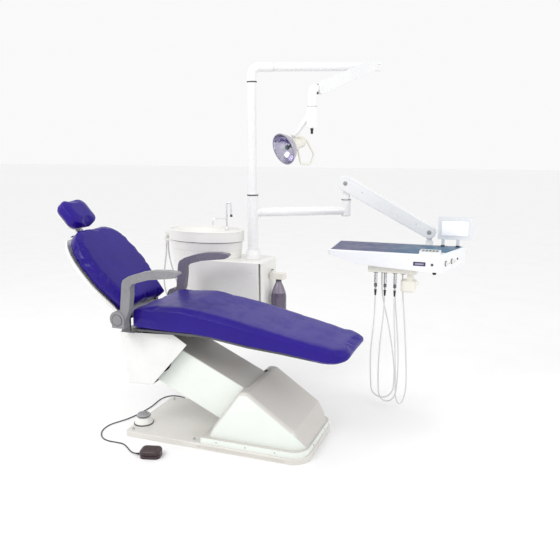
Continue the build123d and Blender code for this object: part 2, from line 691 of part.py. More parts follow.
# Cuspidor: rim band, deck, basin with a drain, and the tapered skirt in the unit.
BASIN_X = -455.0
with BuildPart() as cuspidor_bowl:
    add(bowl_outer)
    with BuildSketch(Plane(origin=(BOWL_X, BOWL_Y, 966))):
        Ellipse(BOWL_A, BOWL_B)
    extrude(amount=BOWL_TOP - 966)
    fillet(cuspidor_bowl.faces().sort_by(Axis.Z)[-1].edges(), 5)
    # hollow beneath the deck
    with BuildSketch(Plane(origin=(BOWL_X, BOWL_Y, 730))):
        Ellipse(205, 95)
    with BuildSketch(Plane(origin=(BOWL_X, BOWL_Y, BOWL_TOP - 16))):
        Ellipse(BOWL_A - 11, BOWL_B - 11)
    loft(mode=Mode.SUBTRACT)
    # basin with its drain
    with BuildSketch(Plane(origin=(BASIN_X, BOWL_Y, 922))):
        Ellipse(78, 58)
    with BuildSketch(Plane(origin=(BASIN_X, BOWL_Y, BOWL_TOP - 14))):
        Ellipse(157, 119)
    loft()
    with BuildSketch(Plane(origin=(BASIN_X, BOWL_Y, 880))):
        Circle(21)
    extrude(amount=46)
    with BuildSketch(Plane(origin=(BOWL_X, BOWL_Y, BOWL_TOP - 8))):
        Ellipse(BOWL_A - 12, BOWL_B - 12)
    extrude(amount=20, mode=Mode.SUBTRACT)
    with BuildSketch(Plane(origin=(BASIN_X, BOWL_Y, 930))):
        Ellipse(70, 50)
    with BuildSketch(Plane(origin=(BASIN_X, BOWL_Y, BOWL_TOP - 7))):
        Ellipse(150, 112)
    loft(mode=Mode.SUBTRACT)
    with BuildSketch(Plane(origin=(BASIN_X, BOWL_Y, 860))):
        Circle(16)
    extrude(amount=100, mode=Mode.SUBTRACT)
cuspidor_bowl.part.label = "cuspidor_bowl"
export_step(cuspidor_bowl.part, "parts/cuspidor_bowl.step")

DECK_Z = BOWL_TOP - 8
CUP_X, CUP_Y = -283.0, 600.0
with BuildPart() as cup_filler:
    with BuildSketch(Plane.XY.offset(DECK_Z + GAP)):
        with Locations((CUP_X, CUP_Y)):
            Circle(11)
    extrude(amount=12)
    with BuildLine() as cup_path:
        FilletPolyline((CUP_X, CUP_Y, DECK_Z + 10), (CUP_X, CUP_Y, 1196), (CUP_X + 30, CUP_Y, 1196),
                       (CUP_X + 30, CUP_Y, 1110), radius=14)
    with BuildSketch(Plane(origin=(CUP_X, CUP_Y, DECK_Z + 10))):
        Circle(6)
    sweep(path=cup_path.line)
cup_filler.part.label = "cup_filler"
export_step(cup_filler.part, "parts/cup_filler.step")

with BuildPart() as rinse_pipe:
    with BuildLine() as rinse_path:
        FilletPolyline((-306, 655, DECK_Z + GAP), (-306, 655, 1092), (-388, 620, 1092), (-388, 620, 1046), radius=20)
    with BuildSketch(Plane(origin=(-306, 655, DECK_Z + GAP))):
        Circle(4)
    sweep(path=rinse_path.line)
    with BuildSketch(Plane(origin=(-306, 655, DECK_Z + GAP))):
        Circle(8)
    extrude(amount=8)
rinse_pipe.part.label = "rinse_pipe"
export_step(rinse_pipe.part, "parts/rinse_pipe.step")

# Mast with its collar, the clamp ring above the tray sleeve and the ring at the top.
SLEEVE_R = 33.0
SLEEVE_TOP = 1245.0
with BuildPart() as pole:
    with BuildSketch(Plane(origin=(POLE_X, POLE_Y, 0), x_dir=(1, 0, 0), z_dir=(0, -1, 0))):
        with BuildLine():
            Polyline((0, UNIT_Z1 + GAP), (48, UNIT_Z1 + GAP), (47, 890), (42, 912), (36, 920), (POLE_R, 920),
                     (POLE_R, SLEEVE_TOP + 1), (SLEEVE_R + 0.8, SLEEVE_TOP + 1), (SLEEVE_R + 0.8, SLEEVE_TOP + 9),
                     (POLE_R, SLEEVE_TOP + 9), (POLE_R, POLE_TOP - 8), (POLE_R + 3, POLE_TOP - 8),
                     (POLE_R + 3, POLE_TOP), (POLE_BORE, POLE_TOP), (POLE_BORE, 1708), (0, 1708), (0, 1700),
                     (POLE_BORE, 1700), (POLE_BORE, 890), (0, 890), close=True)
        make_face()
    revolve(axis=Axis((POLE_X, POLE_Y, 0), (0, 0, 1)))
pole.part.label = "pole"
export_step(pole.part, "parts/pole.step")

# Clean-water bottle screwed under its bracket.
BOT_X, BOT_Y, BOT_TOP = 66.0, 580.0, 748.0
with BuildPart() as bottle_bracket:
    with BuildSketch(Plane.XY.offset(BOT_TOP)):
        with Locations((60, BOT_Y)):
            RectangleRounded(101 - 2 * GAP, 52, 12)
    extrude(amount=36)
    with BuildSketch(Plane.XY.offset(BOT_TOP + 36)):
        with Locations((26, BOT_Y)):
            Circle(9)
    extrude(amount=14)
    with BuildSketch(Plane.XY.offset(BOT_TOP)):
        with Locations((BOT_X, BOT_Y)):
            Circle(16 + 2 * RUN)
    extrude(amount=22, mode=Mode.SUBTRACT)
bottle_bracket.part.label = "bottle_bracket"
export_step(bottle_bracket.part, "parts/bottle_bracket.step")

with BuildPart() as bottle:
    with BuildSketch(Plane(origin=(BOT_X, BOT_Y, 0), x_dir=(1, 0, 0), z_dir=(0, -1, 0))):
        with BuildLine():
            Polyline((0, 506), (38, 506), (46, 514), (47, 640), (42, 668), (30, 700), (20, 722), (16, 734),
                     (16, BOT_TOP + 20), (0, BOT_TOP + 20), close=True)
        make_face()
    revolve(axis=Axis((BOT_X, BOT_Y, 0), (0, 0, 1)))
bottle.part.label = "bottle"
export_step(bottle.part, "parts/bottle.step")

# Suction rest at the head end of the cuspidor, with two handpieces in it.
SUC_X, SUC_Y, SUC_Z = -702.0, 600.0, 940.0
with BuildPart() as suction_holder:
    with BuildSketch(Plane.XY.offset(SUC_Z + 6)):
        with Locations((-676, 590)):
            Rectangle(76, 46)
    extrude(amount=12)
    add(bowl_outer.moved(Location((0.0, 0.0, 0.0))), mode=Mode.SUBTRACT)
    with BuildSketch(Plane.XY.offset(SUC_Z)):
        with Locations((SUC_X, SUC_Y), (SUC_X, SUC_Y - 24)):
            Circle(8.4)
    extrude(amount=60, mode=Mode.SUBTRACT)
    for tip_y in (SUC_Y, SUC_Y - 24):
        with BuildSketch(Plane(origin=(SUC_X, tip_y, 0), x_dir=(1, 0, 0), z_dir=(0, -1, 0))):
            with BuildLine():
                Polyline((0, SUC_Z - 12), (6, SUC_Z - 12), (8, SUC_Z), (8, SUC_Z + 26), (10, SUC_Z + 28),
                         (9, SUC_Z + 40), (4, SUC_Z + 46), (3.5, SUC_Z + 62), (0, SUC_Z + 62), close=True)
            make_face()
        revolve(axis=Axis((SUC_X, tip_y, 0), (0, 0, 1)))
suction_holder.part.label = "suction_holder"
export_step(suction_holder.part, "parts/suction_holder.step")

# ================================================================ operating light
WX, WY, LZ = 585.0, 812.0, 1984.0        # swivel at the end of the upper arm, and its height
DX, DY, KZ = 418.0, 100.0, 1814.0        # axis of the drop tube, height of the lower knuckle
HLEN = hypot(DX - WX, DY - WY)
HX, HY = (DX - WX) / HLEN, (DY - WY) / HLEN
T1 = (WX + 60 * HX, WY + 60 * HY, LZ)    # upper tilt axis of the balanced arm
K1 = (DX - 62 * HX, DY - 62 * HY, KZ)    # lower tilt axis
LARM_L = sqrt((K1[0] - T1[0]) ** 2 + (K1[1] - T1[1]) ** 2 + (K1[2] - T1[2]) ** 2)
LARM_S = (T1[2] - K1[2]) / LARM_L
LARM_C = sqrt(1 - LARM_S ** 2)
ACROSS = (HY, -HX, 0)
UPRIGHT_T = Plane(origin=T1, x_dir=(HX, HY, 0), z_dir=ACROSS)
UPRIGHT_K = Plane(origin=K1, x_dir=(HX, HY, 0), z_dir=ACROSS)
LARM = Plane(origin=T1, x_dir=(HX * LARM_C, HY * LARM_C, -LARM_S), z_dir=ACROSS)

ALEN = hypot(WX - POLE_X, WY - POLE_Y)
AX, AY = (WX - POLE_X) / ALEN, (WY - POLE_Y) / ALEN
with BuildPart() as lamp_arm:
    with BuildSketch(Plane(origin=(POLE_X, POLE_Y, 1740))):
        Circle(POLE_BORE - RUN)
    extrude(amount=POLE_TOP + 1 - 1740)
    with BuildLine() as elbow_path:
        FilletPolyline((POLE_X, POLE_Y, POLE_TOP + GAP), (POLE_X, POLE_Y, LZ),
                       (POLE_X + 125 * AX, POLE_Y + 125 * AY, LZ), radius=46)
    with BuildSketch(Plane(origin=(POLE_X, POLE_Y, POLE_TOP + GAP))):
        Circle(28)
    sweep(path=elbow_path.line)
    with BuildSketch(Plane(origin=(POLE_X, POLE_Y, POLE_TOP + GAP))):
        Circle(24.5)
    sweep(path=elbow_path.line, mode=Mode.SUBTRACT)
    with BuildSketch(Plane(origin=(POLE_X, POLE_Y, POLE_TOP + GAP))):
        Circle(27)
    extrude(amount=8)
    with BuildSketch(Plane(origin=(POLE_X + 118 * AX, POLE_Y + 118 * AY, LZ), x_dir=(0, 0, 1), z_dir=(AX, AY, 0))):
        Circle(25)
    extrude(amount=ALEN - 118 - 60)
    with BuildSketch(Plane(origin=(POLE_X + 110 * AX, POLE_Y + 110 * AY, LZ), x_dir=(0, 0, 1), z_dir=(AX, AY, 0))):
        Circle(21.5)
    extrude(amount=ALEN - 110 - 68, mode=Mode.SUBTRACT)
    with BuildSketch(Plane(origin=(WX, WY, LZ - 10), x_dir=(AX, AY, 0), z_dir=(0, 0, 1))):
        Circle(16)
        with Locations((-32, 0)):
            Rectangle(64, 16)
    extrude(amount=20)
    with BuildSketch(Plane(origin=(WX, WY, LZ - 40))):
        Circle(9 + RUN)
    extrude(amount=80, mode=Mode.SUBTRACT)
lamp_arm.part.label = "lamp_arm"
export_step(lamp_arm.part, "parts/lamp_arm.step")

# Knuckle: clevis about the vertical swivel, and a tongue for the balanced arm.
with BuildPart() as lamp_knuckle:
    for plate_z in (LZ - 25, LZ + 10.5):
        with BuildSketch(Plane(origin=(WX, WY, plate_z), x_dir=(HX, HY, 0), z_dir=(0, 0, 1))):
            Circle(21)
            with Locations((15, 0)):
                Rectangle(30, 20)
        extrude(amount=14.5)
    with BuildSketch(UPRIGHT_T):
        with Locations((-34, 0)):
            Rectangle(8, 50)
    extrude(amount=10, both=True)
    with BuildSketch(UPRIGHT_T):
        with Locations((-18, 0)):
            Rectangle(36, 20)
        Circle(14)
    extrude(amount=8, both=True)
    with BuildSketch(UPRIGHT_T):
        Circle(6 + RUN)
    extrude(amount=40, both=True, mode=Mode.SUBTRACT)
    with BuildSketch(Plane(origin=(WX, WY, LZ - 20))):
        Circle(9)
    extrude(amount=40)
lamp_knuckle.part.label = "lamp_knuckle"
export_step(lamp_knuckle.part, "parts/lamp_knuckle.step")


def arm_shell(plane, length, r0, r1, half, slot_half, pin_r, cuts):
    """Hollow arm between two round ends, slotted beneath each end for its tongue."""
    with BuildPart() as shell:
        with BuildSketch(plane):
            Circle(r0)
            with Locations((length, 0)):
                Circle(r1)
            make_hull()
        extrude(amount=half, both=True)
        rim = shell.edges().filter_by(lambda e: e.length > length * 0.5)
        fillet(rim, 5)
        with BuildSketch(plane):
            Circle(r0 - WALL)
            with Locations((length, 0)):
                Circle(r1 - WALL)
            make_hull()
        extrude(amount=half - WALL, both=True, mode=Mode.SUBTRACT)
        with BuildSketch(plane):
            for cut_x0, cut_x1, cut_y0, cut_y1 in cuts:
                with Locations(((cut_x0 + cut_x1) / 2, (cut_y0 + cut_y1) / 2)):
                    Rectangle(cut_x1 - cut_x0, cut_y1 - cut_y0)
        extrude(amount=slot_half, both=True, mode=Mode.SUBTRACT)
        with BuildSketch(plane):
            Circle(pin_r)
            with Locations((length, 0)):
                Circle(pin_r)
        extrude(amount=half + 1, both=True)
    return shell.part


lamp_shell = arm_shell(LARM, LARM_L, 27, 27, 23, 10, 6, [(-60, 0, -40, 40), (LARM_L, LARM_L + 60, -40, 40)])
with BuildPart() as lamp_spring_arm:
    add(lamp_shell)
lamp_spring_arm.part.label = "lamp_spring_arm"
export_step(lamp_spring_arm.part, "parts/lamp_spring_arm.step")

YOKE_TOP, YOKE_BOT = 1730.0, 1624.0
DROP_R = 21.0
with BuildPart() as lamp_drop:
    with BuildSketch(UPRIGHT_K):
        Circle(14)
        with Locations((17, 0)):
            Rectangle(34, 22)
    extrude(amount=8, both=True)
    with BuildLine() as drop_path:
        FilletPolyline((K1[0] + 31 * HX, K1[1] + 31 * HY, KZ), (DX, DY, KZ), (DX, DY, YOKE_BOT + 8), radius=29)
    with BuildSketch(Plane(origin=(K1[0] + 31 * HX, K1[1] + 31 * HY, KZ), x_dir=(0, 0, 1), z_dir=(HX, HY, 0))):
        Circle(DROP_R)
    sweep(path=drop_path.line)
    with BuildSketch(Plane(origin=(DX, DY, 1597))):
        Circle(4.5)
    extrude(amount=40)
    with BuildSketch(UPRIGHT_K):
        Circle(6 + RUN)
    extrude(amount=40, both=True, mode=Mode.SUBTRACT)
lamp_drop.part.label = "lamp_drop"
export_step(lamp_drop.part, "parts/lamp_drop.step")

# Lamp head frame: N is the way it shines, E1 its tilt axis, E2 its own up direction.
LO = (283.0, 97.0, 1527.0)
NL = sqrt(0.5 ** 2 + 0.8 ** 2 + 0.33 ** 2)
NX, NY, NZ = -0.5 / NL, -0.8 / NL, -0.33 / NL
EL = hypot(NX, NY)
E1 = (-NY / EL, NX / EL, 0)
LAMP = Plane(origin=LO, x_dir=E1, z_dir=(NX, NY, NZ))
Q_N, Q_U = -62.0, 46.0
QX, QY, QZ = tuple(LAMP.from_local_coords((0, Q_U, Q_N)))
JX, JY = QX + 20 * E1[0], QY + 20 * E1[1]
GLEN = hypot(JX - DX, JY - DY)
YOKE = Plane(origin=(DX, DY, 0), x_dir=((JX - DX) / GLEN, (JY - DY) / GLEN, 0),
             z_dir=((JY - DY) / GLEN, -(JX - DX) / GLEN, 0))
LSIDE = Plane(origin=LO, x_dir=(NX, NY, NZ), z_dir=E1)

with BuildPart() as lamp_yoke:
    with BuildSketch(Plane(origin=(DX, DY, 0), x_dir=(1, 0, 0), z_dir=(0, -1, 0))):
        with BuildLine():
            Polyline((5, YOKE_BOT), (26, YOKE_BOT), (27, YOKE_BOT + 2), (27, YOKE_TOP - 14), (24, YOKE_TOP),
                     (DROP_R + RUN, YOKE_TOP), (DROP_R + RUN, YOKE_BOT + 7), (5, YOKE_BOT + 7), close=True)
        make_face()
    revolve(axis=Axis((DX, DY, 0), (0, 0, 1)))
    with BuildSketch(YOKE):
        with BuildLine():
            Polyline((24, 1662), (24, 1696), (GLEN - 3, QZ + 9), (GLEN - 8, QZ - 3), close=True)
        make_face()
    extrude(amount=11, both=True)
    tilt_pin = Plane(origin=(QX, QY, QZ), x_dir=(0, 0, 1), z_dir=E1)
    with BuildSketch(tilt_pin.offset(6 + GAP)):
        Circle(10)
    extrude(amount=24)
    with BuildSketch(tilt_pin.offset(-6 - GAP - 4)):
        Circle(7)
    extrude(amount=4)
    with BuildSketch(tilt_pin.offset(-8)):
        Circle(4)
    extrude(amount=18)
    with BuildSketch(Plane(origin=(DX, DY, YOKE_BOT + 7))):
        Circle(DROP_R + RUN)
    extrude(amount=YOKE_TOP - YOKE_BOT, mode=Mode.SUBTRACT)
lamp_yoke.part.label = "lamp_yoke"
export_step(lamp_yoke.part, "parts/lamp_yoke.step")

with BuildPart() as lamp_housing:
    with BuildSketch(LAMP.offset(-116)):
        Circle(31)
    extrude(amount=116 - 42)
    fillet(lamp_housing.faces().sort_by(Axis((0, 0, 0), (NX, NY, NZ)))[0].edges(), 8)
    with BuildSketch(LAMP.offset(-70)):
        Circle(13)
    extrude(amount=60, mode=Mode.SUBTRACT)
    # lug that turns on the yoke's pin
    with BuildSketch(LSIDE):
        with BuildLine():
            Polyline((Q_N - 14, -24), (Q_N + 14, -24), (Q_N + 9, -Q_U), (Q_N - 9, -Q_U), close=True)
        make_face()
        with Locations((Q_N, -Q_U)):
            Circle(9)
    extrude(amount=6, both=True)
    with BuildSketch(LSIDE):
        with Locations((Q_N, -Q_U)):
            Circle(4 + RUN)
    extrude(amount=18, both=True, mode=Mode.SUBTRACT)
    # loop handle behind the reflector
    with BuildLine(LSIDE) as loop_path:
        FilletPolyline((-100, -20), (-140, 4), (-166, 92), (-128, 132), (-66, 108), (-74, 24), radius=18)
    with BuildSketch(Plane(origin=loop_path.line @ 0, z_dir=loop_path.line % 0)):
        Circle(6)
    sweep(path=loop_path.line)
lamp_housing.part.label = "lamp_housing"
export_step(lamp_housing.part, "parts/lamp_housing.step")

with BuildPart() as lamp_reflector:
    with BuildSketch(LSIDE):
        with BuildLine():
            Polyline((-41.7, 13), (-41.7, 30), (-34, 46), (-14, 66), (14, 80), (17, 80), (17, 76), (-12, 62),
                     (-30, 43), (-38, 13), close=True)
        make_face()
    revolve(axis=Axis(LO, (NX, NY, NZ)))
lamp_reflector.part.label = "lamp_reflector"
export_step(lamp_reflector.part, "parts/lamp_reflector.step")

with BuildPart() as lamp_bulb:
    with BuildSketch(LAMP.offset(-69)):
        Circle(12.5)
    extrude(amount=29)
    with BuildSketch(LAMP.offset(-41)):
        Circle(7)
    extrude(amount=38)
    chamfer(lamp_bulb.faces().sort_by(Axis((0, 0, 0), (NX, NY, NZ)))[-1].edges(), 3)
lamp_bulb.part.label = "lamp_bulb"
export_step(lamp_bulb.part, "parts/lamp_bulb.step")

# ================================================================ tray arm
EX, EY, EZ = 395.0, 900.0, 1145.0        # end of the tray arm, and its height
SPR_X1, SPR_Z1 = 395.0, 1312.0           # upper tilt axis of the balanced tray arm
SPR_X2, SPR_Z2 = 915.0, 1032.0           # lower tilt axis
TLEN = hypot(EX - POLE_X, EY - POLE_Y)
TX, TY = (EX - POLE_X) / TLEN, (EY - POLE_Y) / TLEN
with BuildPart() as tray_arm:
    with BuildSketch(Plane(origin=(POLE_X, POLE_Y, 920 + GAP))):
        Circle(SLEEVE_R)
    extrude(amount=SLEEVE_TOP - 920 - GAP)
    with BuildSketch(Plane(origin=(POLE_X, POLE_Y, EZ), x_dir=(0, 0, 1), z_dir=(TX, TY, 0))):
        Circle(27)
    extrude(amount=TLEN)
    with BuildSketch(Plane(origin=(POLE_X + 36 * TX, POLE_Y + 36 * TY, EZ), x_dir=(0, 0, 1), z_dir=(TX, TY, 0))):
        Circle(23)
    extrude(amount=TLEN - 36 - 34, mode=Mode.SUBTRACT)
    with BuildSketch(Plane(origin=(EX, EY, EZ - 32))):
        Circle(30)
    extrude(amount=100)
    with BuildSketch(Plane(origin=(EX, EY, EZ - 10))):
        Circle(16 + RUN)
    extrude(amount=90, mode=Mode.SUBTRACT)
    with BuildSketch(Plane(origin=(POLE_X, POLE_Y, 900))):
        Circle(POLE_R + RUN)
    extrude(amount=400, mode=Mode.SUBTRACT)
tray_arm.part.label = "tray_arm"
export_step(tray_arm.part, "parts/tray_arm.step")

POST_Z = EZ + 68 + GAP
with BuildPart() as tray_post:
    with BuildSketch(Plane(origin=(EX, EY, EZ - 8))):
        Circle(16)
    extrude(amount=POST_Z - EZ + 10)
    with BuildSketch(Plane(origin=(EX, EY, POST_Z))):
        Circle(24)
    extrude(amount=8)
    with BuildSketch(side(EY + 12)):
        with Locations((SPR_X1, SPR_Z1)):
            Circle(20)
        with Locations((SPR_X1, (SPR_Z1 + POST_Z) / 2)):
            Rectangle(40, SPR_Z1 - POST_Z)
    extrude(amount=24)
    with BuildSketch(side(EY + 40)):
        with Locations((SPR_X1, SPR_Z1)):
            Circle(9 + RUN)
    extrude(amount=80, mode=Mode.SUBTRACT)
tray_post.part.label = "tray_post"
export_step(tray_post.part, "parts/tray_post.step")

SPR_L = hypot(SPR_X2 - SPR_X1, SPR_Z1 - SPR_Z2)
SPRING = Plane(origin=(SPR_X1, EY, SPR_Z1), x_dir=((SPR_X2 - SPR_X1) / SPR_L, 0, (SPR_Z2 - SPR_Z1) / SPR_L),
               z_dir=(0, -1, 0))
tray_shell = arm_shell(SPRING, SPR_L, 47, 38, 30, 15, 9,
                       [(-34, 62, -80, -4), (SPR_L - 46, SPR_L + 46, -80, -4)])
with BuildPart() as tray_spring_arm:
    add(tray_shell)
tray_spring_arm.part.label = "tray_spring_arm"
export_step(tray_spring_arm.part, "parts/tray_spring_arm.step")

TRAY_TOP = 960.0
LUG_Z0, LUG_Z1 = 906.0, 936.0
with BuildPart() as tray_carrier:
    with BuildSketch(side(EY + 12)):
        with Locations((SPR_X2, SPR_Z2)):
            Circle(18)
        with Locations((SPR_X2, (SPR_Z2 + 962) / 2)):
            Rectangle(30, SPR_Z2 - 962)
    extrude(amount=24)
    with BuildSketch(Plane(origin=(SPR_X2, EY, LUG_Z1 + GAP))):
        Circle(23)
    extrude(amount=40)
    with BuildSketch(Plane(origin=(SPR_X2, EY, LUG_Z0 - 8))):
        Circle(14)
    extrude(amount=45)
    with BuildSketch(side(EY + 40)):
        with Locations((SPR_X2, SPR_Z2)):
            Circle(9 + RUN)
    extrude(amount=80, mode=Mode.SUBTRACT)
tray_carrier.part.label = "tray_carrier"
export_step(tray_carrier.part, "parts/tray_carrier.step")

# ================================================================ instrument tray
TRAY_PLAN = [(395, 490), (1035, 490), (1140, 872), (362, 872)]
TRAY_UNDER = [(340, 940), (395, 934), (477, 912), (564, 885), (965, 864), (1160, 868)]
MAT_T = 5.0


def tray_face(inset):
    """Plan of the tray, narrowed by inset all round."""
    with BuildSketch() as face:
        with BuildLine():
            Polyline(*TRAY_PLAN, close=True)
        make_face()
        fillet(face.vertices(), 24)
        if inset:
            offset(amount=-inset)
    return face.sketch


def mat_face(inset):
    """Plan of the mat, which leaves the corner of the control console free."""
    with BuildSketch() as face:
        add(tray_face(16 + inset))
        with Locations((982, 528)):
            Rectangle(152 + 2 * inset, 120 + 2 * inset, mode=Mode.SUBTRACT)
    return face.sketch


def tray_room():
    """Hollow inside the tray, a wall's thickness within every outer face."""
    with BuildPart() as room:
        with BuildSketch(side(1000)):
            with BuildLine():
                Polyline((330, TRAY_TOP - MAT_T - 4), *[(x, z + 5) for x, z in TRAY_UNDER],
                         (1160, TRAY_TOP - MAT_T - 4), close=True)
            make_face()
        extrude(amount=600)
        with BuildSketch(Plane.XY.offset(800)):
            add(tray_face(6))
        extrude(amount=300, mode=Mode.INTERSECT)
    return room.part


tray_hollow = tray_room()
with BuildPart() as tray_body:
    with BuildSketch(side(1000)):
        with BuildLine():
            Polyline((340, TRAY_TOP), *TRAY_UNDER, (1160, TRAY_TOP), close=True)
        make_face()
    extrude(amount=600)
    with BuildSketch(Plane.XY.offset(800)):
        add(tray_face(0))
    extrude(amount=300, mode=Mode.INTERSECT)
    fillet(tray_body.faces().sort_by(Axis.Z)[-1].edges(), 5)
    with BuildSketch(Plane.XY.offset(TRAY_TOP - MAT_T)):
        add(mat_face(0))
    extrude(amount=20, mode=Mode.SUBTRACT)
    add(tray_hollow, mode=Mode.SUBTRACT)
    # control console at the front corner
    with BuildSketch(Plane.XY.offset(TRAY_TOP - 8)):
        with Locations((966, 541)):
            RectangleRounded(112, 88, 14)
    extrude(amount=22)
    fillet(tray_body.faces().sort_by(Axis.Z)[-1].edges(), 4)
    # lug that turns on the carrier's spigot
    with BuildSketch(Plane.XY.offset(LUG_Z0)):
        with Locations((SPR_X2, EY - 25)):
            Rectangle(64, 50)
        with Locations((SPR_X2, EY)):
            Circle(32)
    extrude(amount=LUG_Z1 - LUG_Z0)
    with BuildSketch(Plane.XY.offset(LUG_Z0 - 10)):
        with Locations((SPR_X2, EY)):
            Circle(14 + RUN)
    extrude(amount=60, mode=Mode.SUBTRACT)
    with BuildSketch(Plane.XY.offset(LUG_Z1)):
        with Locations((SPR_X2, EY)):
            Circle(28)
    extrude(amount=60, mode=Mode.SUBTRACT)
    # bores for the two control knobs in the sloping end
    KNOB_DIR = (0.9642, -0.2650, 0)
    for knob_s in (62, 150):
        knob_at = (1035 + 0.2650 * knob_s, 490 + 0.9642 * knob_s, 908)
        with BuildSketch(Plane(origin=knob_at, x_dir=(0, 0, 1), z_dir=KNOB_DIR).offset(3)):
            Circle(5 + RUN)
        extrude(amount=-18, mode=Mode.SUBTRACT)
tray_body.part.label = "tray_body"
export_step(tray_body.part, "parts/tray_body.step")

with BuildPart() as tray_mat:
    with BuildSketch(Plane.XY.offset(TRAY_TOP - MAT_T)):
        add(mat_face(1))
    extrude(amount=MAT_T - 1)
tray_mat.part.label = "tray_mat"
export_step(tray_mat.part, "parts/tray_mat.step")


def control_knob(knob_s):
    at = (1035 + 0.2650 * knob_s, 490 + 0.9642 * knob_s, 908)
    face = Plane(origin=at, x_dir=(0, 0, 1), z_dir=KNOB_DIR)
    with BuildPart() as knob:
        with BuildSketch(face.offset(-12)):
            Circle(5)
        extrude(amount=14)
        with BuildSketch(face.offset(0.5)):
            Circle(12)
        extrude(amount=5)
        with BuildSketch(face.offset(5)):
            RectangleRounded(19, 9, 4)
        extrude(amount=13)
    return knob.part


first_knob = control_knob(62)
second_knob = control_knob(150)
with BuildPart() as tray_knob_1:
    add(first_knob)
tray_knob_1.part.label = "tray_knob_1"
export_step(tray_knob_1.part, "parts/tray_knob_1.step")
with BuildPart() as tray_knob_2:
    add(second_knob)
tray_knob_2.part.label = "tray_knob_2"
export_step(tray_knob_2.part, "parts/tray_knob_2.step")

# Film viewer standing at the rear corner of the tray on two feet.
with BuildPart() as film_viewer:
    with BuildSketch(side(862)):
        with Locations((1066, 1066)):
            RectangleRounded(196, 134, 8)
    extrude(amount=22)
    with BuildSketch(Plane.XY.offset(TRAY_TOP - MAT_T + 4 + GAP)):
        with Locations((1000, 849), (1085, 849)):
            Rectangle(18, 12)
    extrude(amount=45)
film_viewer.part.label = "film_viewer"
export_step(film_viewer.part, "parts/film_viewer.step")

# Handpiece rail under the tray, with the junction housing at its end.
HP_Y, HP_R = 553.0, 9.0
HP_X = (667.0, 721.0, 777.0)
HP_BOTTOM = 735.0
HOSE_TOP = 838.0         # flat underside of the rail block, where the hoses end


def under_z(px):
    """Height of the tray's underside at a given X."""
    return 885 + (px - 564) * (864 - 885) / (965 - 564)


with BuildPart() as handpiece_holder:
    with BuildSketch(side(656)):
        with BuildLine():
            Polyline((625, under_z(625) - GAP), (625, HOSE_TOP), (898, HOSE_TOP), (898, under_z(898) - GAP), close=True)
        make_face()
    extrude(amount=656 - HP_Y + 22)
    with BuildSketch(Plane.XY.offset(820)):
        for hole_x in HP_X + (822.0,):
            with Locations((hole_x, HP_Y)):
                Circle(HP_R + GAP)
    extrude(amount=44, mode=Mode.SUBTRACT)
    with BuildSketch(Plane.XY.offset(732)):
        with Locations((852, 565)):
            RectangleRounded(84, 76, 24)
    extrude(amount=66)
    fillet(handpiece_holder.faces().sort_by(Axis.Z)[0].edges(), 14)
    with BuildSketch(Plane.XY.offset(790)):
        with Locations((862, 565)):
            Rectangle(34, 34)
    extrude(amount=55)
    with BuildSketch(Plane(origin=(890, 553, 786), x_dir=(0, 1, 0), z_dir=(1, 0, 0))):
        Circle(11)
    extrude(amount=20)
handpiece_holder.part.label = "handpiece_holder"
export_step(handpiece_holder.part, "parts/handpiece_holder.step")

with BuildPart() as handpieces:
    for hp_x in HP_X:
        with BuildSketch(Plane(origin=(hp_x, HP_Y, 0), x_dir=(1, 0, 0), z_dir=(0, -1, 0))):
            with BuildLine():
                Polyline((0, HP_BOTTOM), (5, HP_BOTTOM), (6, HP_BOTTOM + 34), (HP_R, HP_BOTTOM + 40),
                         (HP_R, 862), (0, 862), close=True)
            make_face()
        revolve(axis=Axis((hp_x, HP_Y, 0), (0, 0, 1)))
handpieces.part.label = "handpieces"
export_step(handpieces.part, "parts/handpieces.step")


# ================================================================ hoses and cable
def cord(points, radius):
    """Round cord along straight runs joined by tangent arcs as large as the runs allow."""
    pts = [Vector(*p) for p in points]
    radii = []
    for k in range(1, len(pts) - 1):
        before = pts[k] - pts[k - 1]
        after = pts[k + 1] - pts[k]
        turn = before.get_angle(after)
        radii.append(0.45 * min(before.length, after.length) / tan(radians(turn) / 2))
    with BuildPart() as tube:
        with BuildLine() as route:
            FilletPolyline(*points, radius=radii)
        with BuildSketch(Plane(origin=pts[0], z_dir=pts[1] - pts[0])):
            Circle(radius)
        sweep(path=route.line)
    length = sum(e.length for e in route.edges())
    share = tube.part.volume / (3.14159265 * radius ** 2 * length)
    print("cord", round(length), "radii", [round(r) for r in radii], "volume share", round(share, 4))
    return tube.part


HOSE_R = 4.0
HOSE_1 = [(667, 553, 735), (667, 553, 672), (665, 558, 600), (660, 565, 524), (652, 573, 446), (645, 580, 368),
          (642, 587, 292), (643, 594, 222), (646, 600, 158), (648, 604, 100), (686, 610, 62), (738, 615, 62),
          (776, 620, 100), (781, 624, 164), (780, 628, 236), (770, 632, 312), (757, 636, 390), (742, 639, 468),
          (724, 642, 546), (704, 643, 622), (690, 640, 696), (686, 636, 768), (686, 636, HOSE_TOP)]
HOSE_2 = [(721, 553, 735), (721, 553, 672), (718, 556, 600), (711, 562, 524), (703, 568, 446), (697, 574, 368),
          (693, 580, 290), (692, 586, 214), (693, 592, 142), (696, 598, 80), (724, 608, 40), (764, 618, 40),
          (792, 628, 80), (797, 634, 146), (799, 640, 220), (797, 646, 300), (792, 650, 380), (785, 652, 460),
          (777, 652, 540), (769, 649, 618), (763, 643, 694), (761, 636, 768), (761, 636, HOSE_TOP)]
